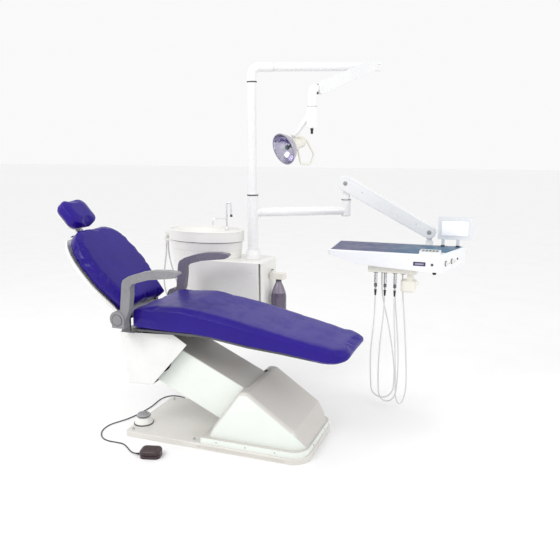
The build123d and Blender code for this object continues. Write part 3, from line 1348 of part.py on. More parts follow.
HOSE_3 = [(777, 553, 735), (777, 553, 672), (779, 554, 600), (783, 557, 524), (788, 558, 446), (791, 561, 368),
          (796, 562, 290), (798, 565, 214), (800, 566, 144), (802, 571, 84), (816, 597, 36), (832, 631, 36),
          (845, 656, 84), (848, 660, 148), (846, 660, 222), (841, 659, 300), (836, 657, 380), (830, 654, 460),
          (824, 650, 540), (817, 645, 618), (810, 640, 694), (806, 636, 768), (806, 636, HOSE_TOP)]
hose_a = cord(HOSE_1, HOSE_R)
with BuildPart() as hose_1:
    add(hose_a)
hose_1.part.label = "hose_1"
export_step(hose_1.part, "parts/hose_1.step")
hose_b = cord(HOSE_2, HOSE_R)
with BuildPart() as hose_2:
    add(hose_b)
hose_2.part.label = "hose_2"
export_step(hose_2.part, "parts/hose_2.step")
hose_c = cord(HOSE_3, HOSE_R)
with BuildPart() as hose_3:
    add(hose_c)
hose_3.part.label = "hose_3"
export_step(hose_3.part, "parts/hose_3.step")

SUCTION_1 = [(-702, 600, 928), (-702, 600, 888), (-698, 600, 846), (-690, 601, 802), (-678, 602, 758),
             (-664, 603, 714), (-649, 604, 669), (-634, 606, 626), (-617, 606, 588), (-588, 606, 562),
             (-546, 606, 562)]
SUCTION_2 = [(-702, 576, 928), (-702, 576, 888), (-711, 581, 842), (-724, 588, 792), (-737, 597, 736),
             (-746, 605, 676), (-745, 611, 616), (-730, 615, 562), (-698, 616, 518), (-648, 616, 492),
             (-596, 616, 482), (-546, 616, 482)]
suction_a = cord(SUCTION_1, 5.0)
with BuildPart() as suction_hose_1:
    add(suction_a)
suction_hose_1.part.label = "suction_hose_1"
export_step(suction_hose_1.part, "parts/suction_hose_1.step")
suction_b = cord(SUCTION_2, 5.0)
with BuildPart() as suction_hose_2:
    add(suction_b)
suction_hose_2.part.label = "suction_hose_2"
export_step(suction_hose_2.part, "parts/suction_hose_2.step")

# Foot switch on the floor and its cable to the base plate.
CABLE_R = 3.0
PED_X, PED_Y = -258.0, -410.0
CABLE = [(-445, 268, 13), (-445, 290, 13), (-456, 312, 6), (-482, 326, 3.2), (-512, 332, 3.2), (-552, 326, 3.2),
         (-580, 296, 3.2), (-592, 254, 3.2), (-590, 205, 3.2), (-584, 152, 3.2), (-586, 96, 3.2), (-592, 40, 3.2),
         (-602, -16, 3.2), (-617, -70, 3.2), (-640, -116, 3.2), (-664, -158, 3.2), (-672, -208, 3.2),
         (-662, -258, 3.2), (-636, -302, 3.2), (-598, -336, 3.2), (-552, -350, 3.2), (-506, -347, 3.2),
         (-460, -349, 3.2), (-418.4, -379, 3.2), (-382.4, -408.8, 3.2), (-343.4, -431.3, 8), (-310.4, -423.1, 8)]
cable_a = cord(CABLE, CABLE_R)
with BuildPart() as foot_cable:
    add(cable_a)
foot_cable.part.label = "foot_cable"
export_step(foot_cable.part, "parts/foot_cable.step")

PED_PLANE = Plane(origin=(PED_X, PED_Y, 0), x_dir=(cos(radians(14)), sin(radians(14)), 0), z_dir=(0, 0, 1))
with BuildPart() as foot_pedal_base:
    with BuildSketch(PED_PLANE):
        RectangleRounded(104, 84, 26)
    extrude(amount=16)
    with BuildSketch(PED_PLANE.offset(5)):
        RectangleRounded(96, 76, 22)
    extrude(amount=30, mode=Mode.SUBTRACT)
    gland_at = (PED_X - 54 * cos(radians(14)), PED_Y - 54 * sin(radians(14)), 8)
    with BuildSketch(Plane(origin=gland_at, x_dir=(0, 0, 1), z_dir=(cos(radians(14)), sin(radians(14)), 0))):
        Circle(5)
    extrude(amount=4)
foot_pedal_base.part.label = "foot_pedal_base"
export_step(foot_pedal_base.part, "parts/foot_pedal_base.step")

with BuildPart() as foot_pedal:
    with BuildSketch(PED_PLANE.offset(20)):
        RectangleRounded(106, 86, 27)
    extrude(amount=20)
    fillet(foot_pedal.faces().sort_by(Axis.Z)[-1].edges(), 12)
    with BuildSketch(PED_PLANE.offset(9)):
        RectangleRounded(95, 75, 21.5)
    extrude(amount=12)
foot_pedal.part.label = "foot_pedal"
export_step(foot_pedal.part, "parts/foot_pedal.step")
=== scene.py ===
import bpy
import bmesh
import math
from mathutils import Matrix, Vector, noise
from mathutils.bvhtree import BVHTree


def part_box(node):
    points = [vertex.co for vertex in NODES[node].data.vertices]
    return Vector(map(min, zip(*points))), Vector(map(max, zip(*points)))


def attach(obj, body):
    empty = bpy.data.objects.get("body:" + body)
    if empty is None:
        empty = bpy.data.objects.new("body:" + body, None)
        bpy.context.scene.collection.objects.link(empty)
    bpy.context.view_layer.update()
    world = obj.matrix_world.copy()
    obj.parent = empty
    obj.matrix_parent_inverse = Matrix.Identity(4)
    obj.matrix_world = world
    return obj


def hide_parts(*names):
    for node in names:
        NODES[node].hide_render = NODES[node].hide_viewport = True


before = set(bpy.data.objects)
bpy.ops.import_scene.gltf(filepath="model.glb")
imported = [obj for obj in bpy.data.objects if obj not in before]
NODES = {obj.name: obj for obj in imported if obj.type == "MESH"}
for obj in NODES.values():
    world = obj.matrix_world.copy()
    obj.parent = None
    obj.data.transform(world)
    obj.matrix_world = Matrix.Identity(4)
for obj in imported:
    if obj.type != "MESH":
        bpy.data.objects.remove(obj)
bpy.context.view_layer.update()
scene = bpy.context.scene
scene.view_settings.view_transform = "Standard"

# ------------------------------------------------------------------ camera
camera_data = bpy.data.cameras.new("camera")
camera_data.sensor_width = 36.0
camera_data.lens = 41.16
camera = bpy.data.objects.new("camera", camera_data)
camera.location = (1.388, -2.997, 1.538)
camera.rotation_euler = (math.radians(90 - 11.831), 0.0, math.radians(20.168))
scene.collection.objects.link(camera)
scene.camera = camera


# ------------------------------------------------------------------ finishes: shared effects
def new_group(name, inputs, outputs):
    tree = bpy.data.node_groups.new(name, "ShaderNodeTree")
    for label, kind, value in inputs:
        socket = tree.interface.new_socket(label, in_out="INPUT", socket_type=kind)
        if value is not None:
            socket.default_value = value
    for label, kind in outputs:
        tree.interface.new_socket(label, in_out="OUTPUT", socket_type=kind)
    return tree, tree.nodes.new("NodeGroupInput"), tree.nodes.new("NodeGroupOutput")


def noise_node(tree, vector, scale, detail=3.0, rough=0.55):
    n = tree.nodes.new("ShaderNodeTexNoise")
    n.inputs["Scale"].default_value = scale if isinstance(scale, (int, float)) else 1.0
    n.inputs["Detail"].default_value = detail
    n.inputs["Roughness"].default_value = rough
    tree.links.new(vector, n.inputs["Vector"])
    if not isinstance(scale, (int, float)):
        tree.links.new(scale, n.inputs["Scale"])
    return n.outputs["Fac"]


def ramp(tree, value, low, high, to_low=0.0, to_high=1.0):
    n = tree.nodes.new("ShaderNodeMapRange")
    n.interpolation_type = "SMOOTHSTEP"
    for label, x in (("From Min", low), ("From Max", high), ("To Min", to_low), ("To Max", to_high)):
        n.inputs[label].default_value = x
    tree.links.new(value, n.inputs["Value"])
    return n.outputs["Result"]


def maths(tree, operation, a, b):
    n = tree.nodes.new("ShaderNodeMath")
    n.operation = operation
    for k, x in enumerate((a, b)):
        if isinstance(x, (int, float)):
            n.inputs[k].default_value = x
        else:
            tree.links.new(x, n.inputs[k])
    return n.outputs[0]


def blend_colour(tree, factor, a, b):
    n = tree.nodes.new("ShaderNodeMix")
    n.data_type = "RGBA"
    for socket, x in ((n.inputs[0], factor), (n.inputs[6], a), (n.inputs[7], b)):
        if isinstance(x, (int, float)):
            socket.default_value = x
        elif isinstance(x, tuple):
            socket.default_value = (*x, 1.0)
        else:
            tree.links.new(x, socket)
    return n.outputs[2]


def make_moulded_skin():
    """Fine spark-eroded texture and slow waviness of a moulded or sprayed panel."""
    tree, gin, gout = new_group("moulded_skin", [("Vector", "NodeSocketVector", None), ("Grain", "NodeSocketFloat", 900.0),
                                                 ("Waviness", "NodeSocketFloat", 0.35)],
                                [("Height", "NodeSocketFloat"), ("Tone", "NodeSocketFloat"), ("Wipe", "NodeSocketFloat")])
    fine = noise_node(tree, gin.outputs["Vector"], gin.outputs["Grain"], 2.0)
    slow = noise_node(tree, gin.outputs["Vector"], 7.0, 2.0)
    tree.links.new(maths(tree, "ADD", maths(tree, "MULTIPLY", fine, 0.25),
                         maths(tree, "MULTIPLY", slow, gin.outputs["Waviness"])), gout.inputs["Height"])
    tree.links.new(ramp(tree, noise_node(tree, gin.outputs["Vector"], 3.1, 5.0), 0.3, 0.75), gout.inputs["Tone"])
    tree.links.new(ramp(tree, noise_node(tree, gin.outputs["Vector"], 16.0, 6.0, 0.7), 0.35, 0.7), gout.inputs["Wipe"])
    return tree


def make_edge_rub_and_highlight():
    """Where hands and cleaning wear the corners, broken up so that it isn't an even line. The vinyl uses the same mask
    to lay a painted highlight along its edges.
    """
    tree, gin, gout = new_group("edge_rub_and_highlight", [("Vector", "NodeSocketVector", None), ("Reach", "NodeSocketFloat", 0.04)],
                                [("Mask", "NodeSocketFloat")])
    geometry = tree.nodes.new("ShaderNodeNewGeometry")
    sharp = maths(tree, "DIVIDE", maths(tree, "SUBTRACT", geometry.outputs["Pointiness"], 0.5), gin.outputs["Reach"])
    broken = ramp(tree, noise_node(tree, gin.outputs["Vector"], 60.0, 6.0, 0.7), 0.4, 0.65)
    clamp = tree.nodes.new("ShaderNodeClamp")
    tree.links.new(maths(tree, "MULTIPLY", sharp, broken), clamp.inputs["Value"])
    tree.links.new(clamp.outputs[0], gout.inputs["Mask"])
    return tree


def make_settled_dust():
    """Thin dust that settles on what faces up."""
    tree, gin, gout = new_group("settled_dust", [("Vector", "NodeSocketVector", None), ("Amount", "NodeSocketFloat", 0.3)],
                                [("Mask", "NodeSocketFloat")])
    geometry = tree.nodes.new("ShaderNodeNewGeometry")
    split = tree.nodes.new("ShaderNodeSeparateXYZ")
    tree.links.new(geometry.outputs["Normal"], split.inputs[0])
    up = ramp(tree, split.outputs["Z"], 0.25, 0.95)
    patch = ramp(tree, noise_node(tree, gin.outputs["Vector"], 9.0, 7.0, 0.65), 0.3, 0.7, 0.35, 1.0)
    tree.links.new(maths(tree, "MULTIPLY", maths(tree, "MULTIPLY", up, patch), gin.outputs["Amount"]), gout.inputs["Mask"])
    return tree


def make_vinyl_grain():
    """Pebbled grain of coated upholstery fabric, with stretch creases."""
    tree, gin, gout = new_group("vinyl_grain", [("Vector", "NodeSocketVector", None), ("Pebble", "NodeSocketFloat", 420.0)],
                                [("Height", "NodeSocketFloat"), ("Shade", "NodeSocketFloat"), ("Polish", "NodeSocketFloat")])
    warp = tree.nodes.new("ShaderNodeTexNoise")
    warp.inputs["Scale"].default_value = 90.0
    tree.links.new(gin.outputs["Vector"], warp.inputs["Vector"])
    shift = tree.nodes.new("ShaderNodeVectorMath")
    shift.operation = "MULTIPLY_ADD"
    shift.inputs[1].default_value = (0.004, 0.004, 0.004)
    tree.links.new(warp.outputs["Color"], shift.inputs[0])
    tree.links.new(gin.outputs["Vector"], shift.inputs[2])
    cells = tree.nodes.new("ShaderNodeTexVoronoi")
    cells.feature = "DISTANCE_TO_EDGE"
    tree.links.new(gin.outputs["Pebble"], cells.inputs["Scale"])
    tree.links.new(shift.outputs[0], cells.inputs["Vector"])
    pebble = ramp(tree, cells.outputs["Distance"], 0.0, 0.12)
    slow = noise_node(tree, gin.outputs["Vector"], 5.0, 3.0)
    tree.links.new(maths(tree, "ADD", maths(tree, "MULTIPLY", pebble, 0.35), maths(tree, "MULTIPLY", slow, 0.6)),
                   gout.inputs["Height"])
    tree.links.new(ramp(tree, noise_node(tree, gin.outputs["Vector"], 2.6, 4.0), 0.3, 0.72), gout.inputs["Shade"])
    tree.links.new(ramp(tree, noise_node(tree, gin.outputs["Vector"], 11.0, 6.0, 0.65), 0.35, 0.7), gout.inputs["Polish"])
    return tree


def make_brushed_lines():
    """Long fine lines left by turning or brushing, along one direction."""
    tree, gin, gout = new_group("brushed_lines", [("Vector", "NodeSocketVector", None),
                                                  ("Stretch", "NodeSocketVector", (900.0, 900.0, 14.0))],
                                [("Height", "NodeSocketFloat"), ("Smear", "NodeSocketFloat")])
    scaled = tree.nodes.new("ShaderNodeVectorMath")
    scaled.operation = "MULTIPLY"
    tree.links.new(gin.outputs["Vector"], scaled.inputs[0])
    tree.links.new(gin.outputs["Stretch"], scaled.inputs[1])
    tree.links.new(noise_node(tree, scaled.outputs[0], 1.0, 3.0), gout.inputs["Height"])
    tree.links.new(ramp(tree, noise_node(tree, gin.outputs["Vector"], 30.0, 5.0), 0.35, 0.7), gout.inputs["Smear"])
    return tree


SKIN, EDGE_RUB_AND_HIGHLIGHT, DUST, GRAIN, BRUSH = (make_moulded_skin(), make_edge_rub_and_highlight(), make_settled_dust(), make_vinyl_grain(),
                                 make_brushed_lines())


def start_material(name):
    m = bpy.data.materials.new(name)
    m.use_nodes = True
    tree = m.node_tree
    shader = tree.nodes["Principled BSDF"]
    place = tree.nodes.new("ShaderNodeTexCoord").outputs["Object"]
    return m, tree, shader, place


def use(tree, group, place, **values):
    n = tree.nodes.new("ShaderNodeGroup")
    n.node_tree = group
    tree.links.new(place, n.inputs["Vector"])
    for label, value in values.items():
        n.inputs[label].default_value = value
    return n.outputs


def bump(tree, shader, height, strength, distance):
    n = tree.nodes.new("ShaderNodeBump")
    n.inputs["Strength"].default_value = strength
    n.inputs["Distance"].default_value = distance
    tree.links.new(height, n.inputs["Height"])
    tree.links.new(n.outputs["Normal"], shader.inputs["Normal"])


def panel_finish(name, colour, second, rub, rough=(0.28, 0.42), coat=0.25, metallic=0.0, grain=900.0, relief=0.12,
                 dust=0.06, dust_colour=(0.62, 0.60, 0.56), reach=0.12, upper=None, alpha=1.0, glow=0.0, specular=0.5):
    """Moulded plastic, sprayed metal or rubber: tone drift, wiped patches, rubbed corners and a little dust, and, where
    upper is given, a painted shade on upward faces.
    """
    m, tree, shader, place = start_material(name)
    skin = use(tree, SKIN, place, Grain=grain)
    sharp_edge_mask = maths(tree, "MULTIPLY", use(tree, EDGE_RUB_AND_HIGHLIGHT, place, Reach=reach)["Mask"], 0.16)
    settled = use(tree, DUST, place, Amount=dust)["Mask"]
    base = blend_colour(tree, skin["Tone"], colour, second)
    # upper is painted shade: a darker colour blended onto the faces that point up
    if upper:
        geometry = tree.nodes.new("ShaderNodeNewGeometry")
        split = tree.nodes.new("ShaderNodeSeparateXYZ")
        tree.links.new(geometry.outputs["Normal"], split.inputs[0])
        base = blend_colour(tree, ramp(tree, split.outputs["Z"], 0.12, 0.5), base, upper)
    base = blend_colour(tree, settled, base, dust_colour)
    base = blend_colour(tree, sharp_edge_mask, base, rub)
    tree.links.new(base, shader.inputs["Base Color"])
    gloss = maths(tree, "ADD", maths(tree, "MULTIPLY", skin["Wipe"], rough[1] - rough[0]), rough[0])
    tree.links.new(maths(tree, "ADD", gloss, maths(tree, "MULTIPLY", settled, 0.25)), shader.inputs["Roughness"])
    bump(tree, shader, skin["Height"], relief, 0.0006)
    shader.inputs["Metallic"].default_value = metallic
    shader.inputs["Coat Weight"].default_value = coat
    shader.inputs["Coat Roughness"].default_value = 0.12
    shader.inputs["Specular IOR Level"].default_value = specular
    if alpha < 1.0:
        shader.inputs["Alpha"].default_value = alpha
    if glow:
        shader.inputs["Emission Color"].default_value = (*colour, 1.0)
        shader.inputs["Emission Strength"].default_value = glow
    return m


def upholstery_finish(name, colour, second, sheen):
    m, tree, shader, place = start_material(name)
    grain = use(tree, GRAIN, place)
    sharp_edge_mask = maths(tree, "MULTIPLY", use(tree, EDGE_RUB_AND_HIGHLIGHT, place, Reach=0.15)["Mask"], 0.5)
    base = blend_colour(tree, grain["Shade"], colour, second)
    # The sheen colour laid on the sharp edges is a painted highlight along the cushion edges.
    base = blend_colour(tree, maths(tree, "MULTIPLY", sharp_edge_mask, 0.35), base, sheen)
    tree.links.new(base, shader.inputs["Base Color"])
    tree.links.new(ramp(tree, grain["Polish"], 0.0, 1.0, 0.30, 0.40), shader.inputs["Roughness"])
    bump(tree, shader, grain["Height"], 0.16, 0.0007)
    shader.inputs["Coat Weight"].default_value = 0.06
    shader.inputs["Coat Roughness"].default_value = 0.26
    shader.inputs["Specular IOR Level"].default_value = 0.22
    shader.inputs["Sheen Weight"].default_value = 0.02
    shader.inputs["Sheen Roughness"].default_value = 0.4
    shader.inputs["Sheen Tint"].default_value = (0.45, 0.45, 1.0, 1.0)
    return m


def metal_finish(name, colour, second, rough, stretch):
    m, tree, shader, place = start_material(name)
    lines = use(tree, BRUSH, place, Stretch=stretch)
    sharp_edge_mask = use(tree, EDGE_RUB_AND_HIGHLIGHT, place, Reach=0.05)["Mask"]
    base = blend_colour(tree, lines["Smear"], colour, second)
    tree.links.new(blend_colour(tree, maths(tree, "MULTIPLY", sharp_edge_mask, 0.5), base, (0.9, 0.9, 0.9)), shader.inputs["Base Color"])
    tree.links.new(ramp(tree, lines["Smear"], 0.0, 1.0, rough, rough + 0.14), shader.inputs["Roughness"])
    bump(tree, shader, lines["Height"], 0.08, 0.0003)
    shader.inputs["Metallic"].default_value = 1.0
    return m


BASE_PAINT = panel_finish("base_plate_enamel", (0.73, 0.71, 0.67), (0.66, 0.63, 0.59), (0.55, 0.53, 0.50), dust=0.08)
# On the cover, upper is painted shade: the upward slopes get a darker warm grey in place of the pale green-white of the
# sides.
COVER = panel_finish("cover_shell_plastic", (0.83, 0.87, 0.82), (0.78, 0.83, 0.78), (0.62, 0.62, 0.56),
                     upper=(0.60, 0.575, 0.54), grain=700.0)
BOX_SHELL = panel_finish("seat_box_plastic", (0.84, 0.84, 0.82), (0.76, 0.76, 0.75), (0.60, 0.58, 0.55))
FRAME = panel_finish("frame_enamel", (0.10, 0.105, 0.115), (0.07, 0.075, 0.08), (0.35, 0.35, 0.35), dust=0.12)
PAN = panel_finish("seat_pan_plastic", (0.09, 0.09, 0.10), (0.06, 0.06, 0.07), (0.25, 0.25, 0.26), coat=0.0,
                   rough=(0.5, 0.65), grain=500.0)
# The last colour is the painted highlight laid along the cushion edges.
VINYL = upholstery_finish("ultramarine_vinyl", (0.017, 0.003, 0.225), (0.013, 0.002, 0.180), (0.11, 0.10, 0.50))
# The armrests are one grey plastic in a lit and a shaded copy: the far copy's darker, more violet grey is painted
# shade.
ARM_GREY_LIT_COPY = panel_finish("armrest_grey_lit_copy", (0.235, 0.235, 0.25), (0.19, 0.19, 0.205), (0.42, 0.42, 0.44), coat=0.1,
                        rough=(0.38, 0.5), grain=600.0)
ARM_GREY_PAINTED_SHADE = panel_finish("armrest_grey_painted_shade", (0.165, 0.15, 0.20), (0.13, 0.12, 0.165), (0.34, 0.33, 0.38), coat=0.1,
                       rough=(0.38, 0.5), grain=600.0)
UNIT = panel_finish("unit_warm_white", (0.86, 0.85, 0.82), (0.80, 0.79, 0.76), (0.62, 0.60, 0.56))
MAST = panel_finish("mast_white_enamel", (0.88, 0.88, 0.87), (0.82, 0.82, 0.82), (0.62, 0.62, 0.63), coat=0.4,
                    rough=(0.2, 0.32), grain=1300.0, relief=0.06)
ARM_WHITE = panel_finish("balanced_arm_white", (0.86, 0.87, 0.87), (0.80, 0.81, 0.82), (0.60, 0.61, 0.63), coat=0.3,
                         rough=(0.24, 0.36), grain=1000.0)
CREAM = panel_finish("cream_plastic", (0.84, 0.82, 0.74), (0.78, 0.76, 0.68), (0.60, 0.58, 0.50))
TRAY = panel_finish("tray_white", (0.88, 0.89, 0.90), (0.82, 0.83, 0.85), (0.64, 0.65, 0.67))
VIEWER = panel_finish("viewer_frame_white", (0.80, 0.82, 0.85), (0.75, 0.77, 0.80), (0.60, 0.61, 0.64))
ACRYLIC = panel_finish("opal_acrylic", (0.93, 0.94, 0.96), (0.90, 0.91, 0.94), (0.8, 0.8, 0.82), rough=(0.12, 0.2),
                       glow=0.12, grain=1500.0, relief=0.03)
HOSE = panel_finish("hose_light_grey", (0.70, 0.70, 0.69), (0.62, 0.62, 0.62), (0.5, 0.5, 0.5), coat=0.15,
                    rough=(0.35, 0.48), grain=1600.0)
BLACK = panel_finish("black_rubber", (0.018, 0.018, 0.02), (0.012, 0.012, 0.013), (0.08, 0.08, 0.08), coat=0.0,
                     rough=(0.5, 0.65), grain=1200.0, dust=0.35, dust_colour=(0.12, 0.12, 0.11))
CABLE = panel_finish("cable_black", (0.02, 0.02, 0.022), (0.014, 0.014, 0.016), (0.07, 0.07, 0.07), coat=0.05,
                     rough=(0.4, 0.55), grain=1500.0, dust=0.3, dust_colour=(0.10, 0.10, 0.10))
PEDAL = panel_finish("pedal_maroon", (0.032, 0.010, 0.014), (0.02, 0.007, 0.01), (0.10, 0.05, 0.05), coat=0.2,
                     rough=(0.35, 0.5), grain=800.0, dust=0.3, dust_colour=(0.12, 0.09, 0.09))
DARK_RING = panel_finish("dark_ring_rubber", (0.05, 0.05, 0.055), (0.035, 0.035, 0.04), (0.16, 0.16, 0.16), coat=0.0,
                         rough=(0.42, 0.56), grain=1100.0)
KNOB_GREY = panel_finish("joystick_grey", (0.33, 0.34, 0.35), (0.27, 0.28, 0.29), (0.5, 0.5, 0.5), coat=0.2,
                         rough=(0.32, 0.45), grain=700.0)
KEYPAD = panel_finish("keypad_film", (0.44, 0.50, 0.47), (0.38, 0.44, 0.42), (0.5, 0.55, 0.52), coat=0.3,
                      rough=(0.3, 0.42), grain=1400.0)
KEY_DARK = panel_finish("key_print_dark", (0.07, 0.09, 0.09), (0.05, 0.06, 0.065), (0.2, 0.22, 0.22), grain=1400.0)
PLATE_DARK = panel_finish("plate_dark_violet", (0.035, 0.025, 0.08), (0.025, 0.02, 0.055), (0.12, 0.1, 0.2), coat=0.5,
                          rough=(0.15, 0.25), grain=1400.0)
PLATE_PALE = panel_finish("plate_pale_field", (0.36, 0.34, 0.50), (0.30, 0.28, 0.42), (0.5, 0.5, 0.6), grain=1400.0)
STEEL = metal_finish("brushed_steel", (0.60, 0.60, 0.61), (0.48, 0.48, 0.50), 0.24, (900.0, 900.0, 14.0))
CHROME = metal_finish("polished_chrome", (0.86, 0.87, 0.88), (0.80, 0.81, 0.83), 0.06, (300.0, 300.0, 20.0))
SCREW = metal_finish("screw_steel", (0.55, 0.55, 0.55), (0.42, 0.42, 0.43), 0.28, (700.0, 700.0, 700.0))
FACET = metal_finish("reflector_facets", (0.52, 0.50, 0.60), (0.40, 0.38, 0.50), 0.16, (120.0, 120.0, 120.0))
SHELL_GREY = panel_finish("reflector_shell", (0.42, 0.40, 0.47), (0.35, 0.33, 0.41), (0.62, 0.6, 0.66), coat=0.4,
                          rough=(0.2, 0.32), metallic=0.3)


def make_mat_finish():
    """Rubber tray mat: deep violet blue at the head end, teal at the other, with a fine non-slip weave."""
    m, tree, shader, place = start_material("tray_mat_rubber")
    split = tree.nodes.new("ShaderNodeSeparateXYZ")
    tree.links.new(place, split.inputs[0])
    across = ramp(tree, split.outputs["X"], 0.52, 1.02)
    skin = use(tree, SKIN, place, Grain=600.0)
    base = blend_colour(tree, across, (0.020, 0.016, 0.125), (0.022, 0.125, 0.225))
    base = blend_colour(tree, maths(tree, "MULTIPLY", skin["Tone"], 0.3), base, (0.05, 0.09, 0.22))
    base = blend_colour(tree, use(tree, DUST, place, Amount=0.12)["Mask"], base, (0.3, 0.32, 0.36))
    tree.links.new(base, shader.inputs["Base Color"])
    weave = tree.nodes.new("ShaderNodeTexVoronoi")
    weave.inputs["Scale"].default_value = 260.0
    tree.links.new(place, weave.inputs["Vector"])
    tree.links.new(ramp(tree, skin["Wipe"], 0.0, 1.0, 0.38, 0.52), shader.inputs["Roughness"])
    bump(tree, shader, weave.outputs["Distance"], 0.35, 0.0006)
    return m


def make_bottle_finish():
    """Smoky violet translucent bottle with a water line."""
    m, tree, shader, place = start_material("smoked_bottle")
    split = tree.nodes.new("ShaderNodeSeparateXYZ")
    tree.links.new(place, split.inputs[0])
    level = ramp(tree, split.outputs["Z"], 0.660, 0.664)
    skin = use(tree, SKIN, place, Grain=400.0)
    wet = blend_colour(tree, skin["Tone"], (0.11, 0.085, 0.15), (0.16, 0.13, 0.20))
    tree.links.new(blend_colour(tree, level, wet, (0.27, 0.23, 0.31)), shader.inputs["Base Color"])
    tree.links.new(ramp(tree, skin["Wipe"], 0.0, 1.0, 0.12, 0.24), shader.inputs["Roughness"])
    bump(tree, shader, skin["Height"], 0.1, 0.0006)
    shader.inputs["Coat Weight"].default_value = 0.4
    shader.inputs["Transmission Weight"].default_value = 0.25
    return m


def make_bulb_finish():
    """Dark green coated lamp glass."""
    m, tree, shader, place = start_material("bulb_green_glass")
    skin = use(tree, SKIN, place, Grain=500.0)
    tree.links.new(blend_colour(tree, skin["Tone"], (0.02, 0.06, 0.045), (0.05, 0.11, 0.08)), shader.inputs["Base Color"])
    tree.links.new(ramp(tree, skin["Wipe"], 0.0, 1.0, 0.05, 0.14), shader.inputs["Roughness"])
    bump(tree, shader, skin["Height"], 0.05, 0.0004)
    shader.inputs["Coat Weight"].default_value = 0.8
    return m


MAT, BOTTLE, BULB = make_mat_finish(), make_bottle_finish(), make_bulb_finish()


# ------------------------------------------------------------------ making pieces
def place_piece(obj, body, material, stands_for=(), crease=30.0):
    if material is not None:
        obj.data.materials.clear()
        obj.data.materials.append(material)
    if obj.type == "MESH":
        obj.data.shade_smooth()
        obj.data.set_sharp_from_angle(angle=math.radians(crease))
    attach(obj, body)
    if stands_for:
        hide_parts(*stands_for)
    return obj


def from_bmesh(name, bm, body, material, stands_for=(), crease=30.0):
    bmesh.ops.recalc_face_normals(bm, faces=bm.faces)
    mesh = bpy.data.meshes.new(name)
    bm.to_mesh(mesh)
    bm.free()
    obj = bpy.data.objects.new(name, mesh)
    scene.collection.objects.link(obj)
    return place_piece(obj, body, material, stands_for, crease)


def axes_for(direction, along=None):
    z = Vector(direction).normalized()
    x = Vector(along) if along is not None else (Vector((0, 0, 1)) if abs(z.z) < 0.9 else Vector((1, 0, 0)))
    x = (x - z * x.dot(z)).normalized()
    return Matrix((x, z.cross(x), z)).transposed()


def turned(bm, centre, direction, profile, sides=48):
    """Adds a turned solid: profile is (radius, height) from one end of the axis to the other."""
    turn = axes_for(direction)
    centre = Vector(centre)
    rings = []
    for radius, height in profile:
        if radius < 1e-7:
            rings.append([bm.verts.new(centre + turn @ Vector((0, 0, height)))])
        else:
            rings.append([bm.verts.new(centre + turn @ Vector((radius * math.cos(2 * math.pi * k / sides),
                                                               radius * math.sin(2 * math.pi * k / sides), height)))
                          for k in range(sides)])
    closed = profile[0][0] > 1e-7
    for a, b in zip(rings, rings[1:] + ([rings[0]] if closed else [])):
        for k in range(sides):
            j = (k + 1) % sides
            if len(a) == 1:
                bm.faces.new((a[0], b[j], b[k]))
            elif len(b) == 1:
                bm.faces.new((a[k], a[j], b[0]))
            else:
                bm.faces.new((a[k], a[j], b[j], b[k]))


def block(bm, centre, size, turn=None, edge=0.002, steps=3):
    """Adds a rounded block."""
    made = bmesh.ops.create_cube(bm, size=1.0)["verts"]
    for v in made:
        v.co = Vector((v.co.x * size[0], v.co.y * size[1], v.co.z * size[2]))
    edges = list({e for v in made for e in v.link_edges})
    made = bmesh.ops.bevel(bm, geom=edges, offset=edge, segments=steps, profile=0.6, affect="EDGES")["verts"]
    whole = set(made)
    for v in list(whole):
        for e in v.link_edges:
            whole.update(e.verts)
    for v in whole:
        v.co = (turn @ v.co if turn is not None else v.co) + Vector(centre)


def swept(name, points, radius, body, material, slot, order=3, stands_for=(), sides=6):
    """A bent rod or tube along a smooth line, as a mesh."""
    data = bpy.data.curves.new(name + "_line", "CURVE")
    data.dimensions = "3D"
    spline = data.splines.new("NURBS")
    spline.points.add(len(points) - 1)
    for p, co in zip(spline.points, points):
        p.co = (*co, 1.0)
    spline.order_u = order
    spline.use_endpoint_u = True
    spline.resolution_u = 10
    data.bevel_depth = radius
    data.bevel_resolution = sides
    data.use_fill_caps = True
    line = bpy.data.objects.new(name + "_line", data)
    scene.collection.objects.link(line)
    bpy.context.view_layer.update()
    mesh = bpy.data.meshes.new_from_object(line.evaluated_get(bpy.context.evaluated_depsgraph_get()))
    bpy.data.objects.remove(line)
    obj = bpy.data.objects.new(name, mesh)
    scene.collection.objects.link(obj)
    return place_piece(obj, body, material, stands_for)


# ------------------------------------------------------------------ cords
def hose(name, node, points_mm, radius, body, material):
    data = bpy.data.curves.new(name, "CURVE")
    data.dimensions = "3D"
    spline = data.splines.new("NURBS")
    spline.points.add(len(points_mm) - 1)
    for p, co in zip(spline.points, points_mm):
        p.co = (co[0] / 1000, co[1] / 1000, co[2] / 1000, 1.0)
    spline.order_u = 3
    spline.use_endpoint_u = True
    spline.resolution_u = 8
    data.bevel_depth = radius
    data.bevel_resolution = 4
    data.use_fill_caps = True
    data.materials.append(material)
    obj = bpy.data.objects.new(name, data)
    scene.collection.objects.link(obj)
    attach(obj, body)
    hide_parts(node)
    return obj


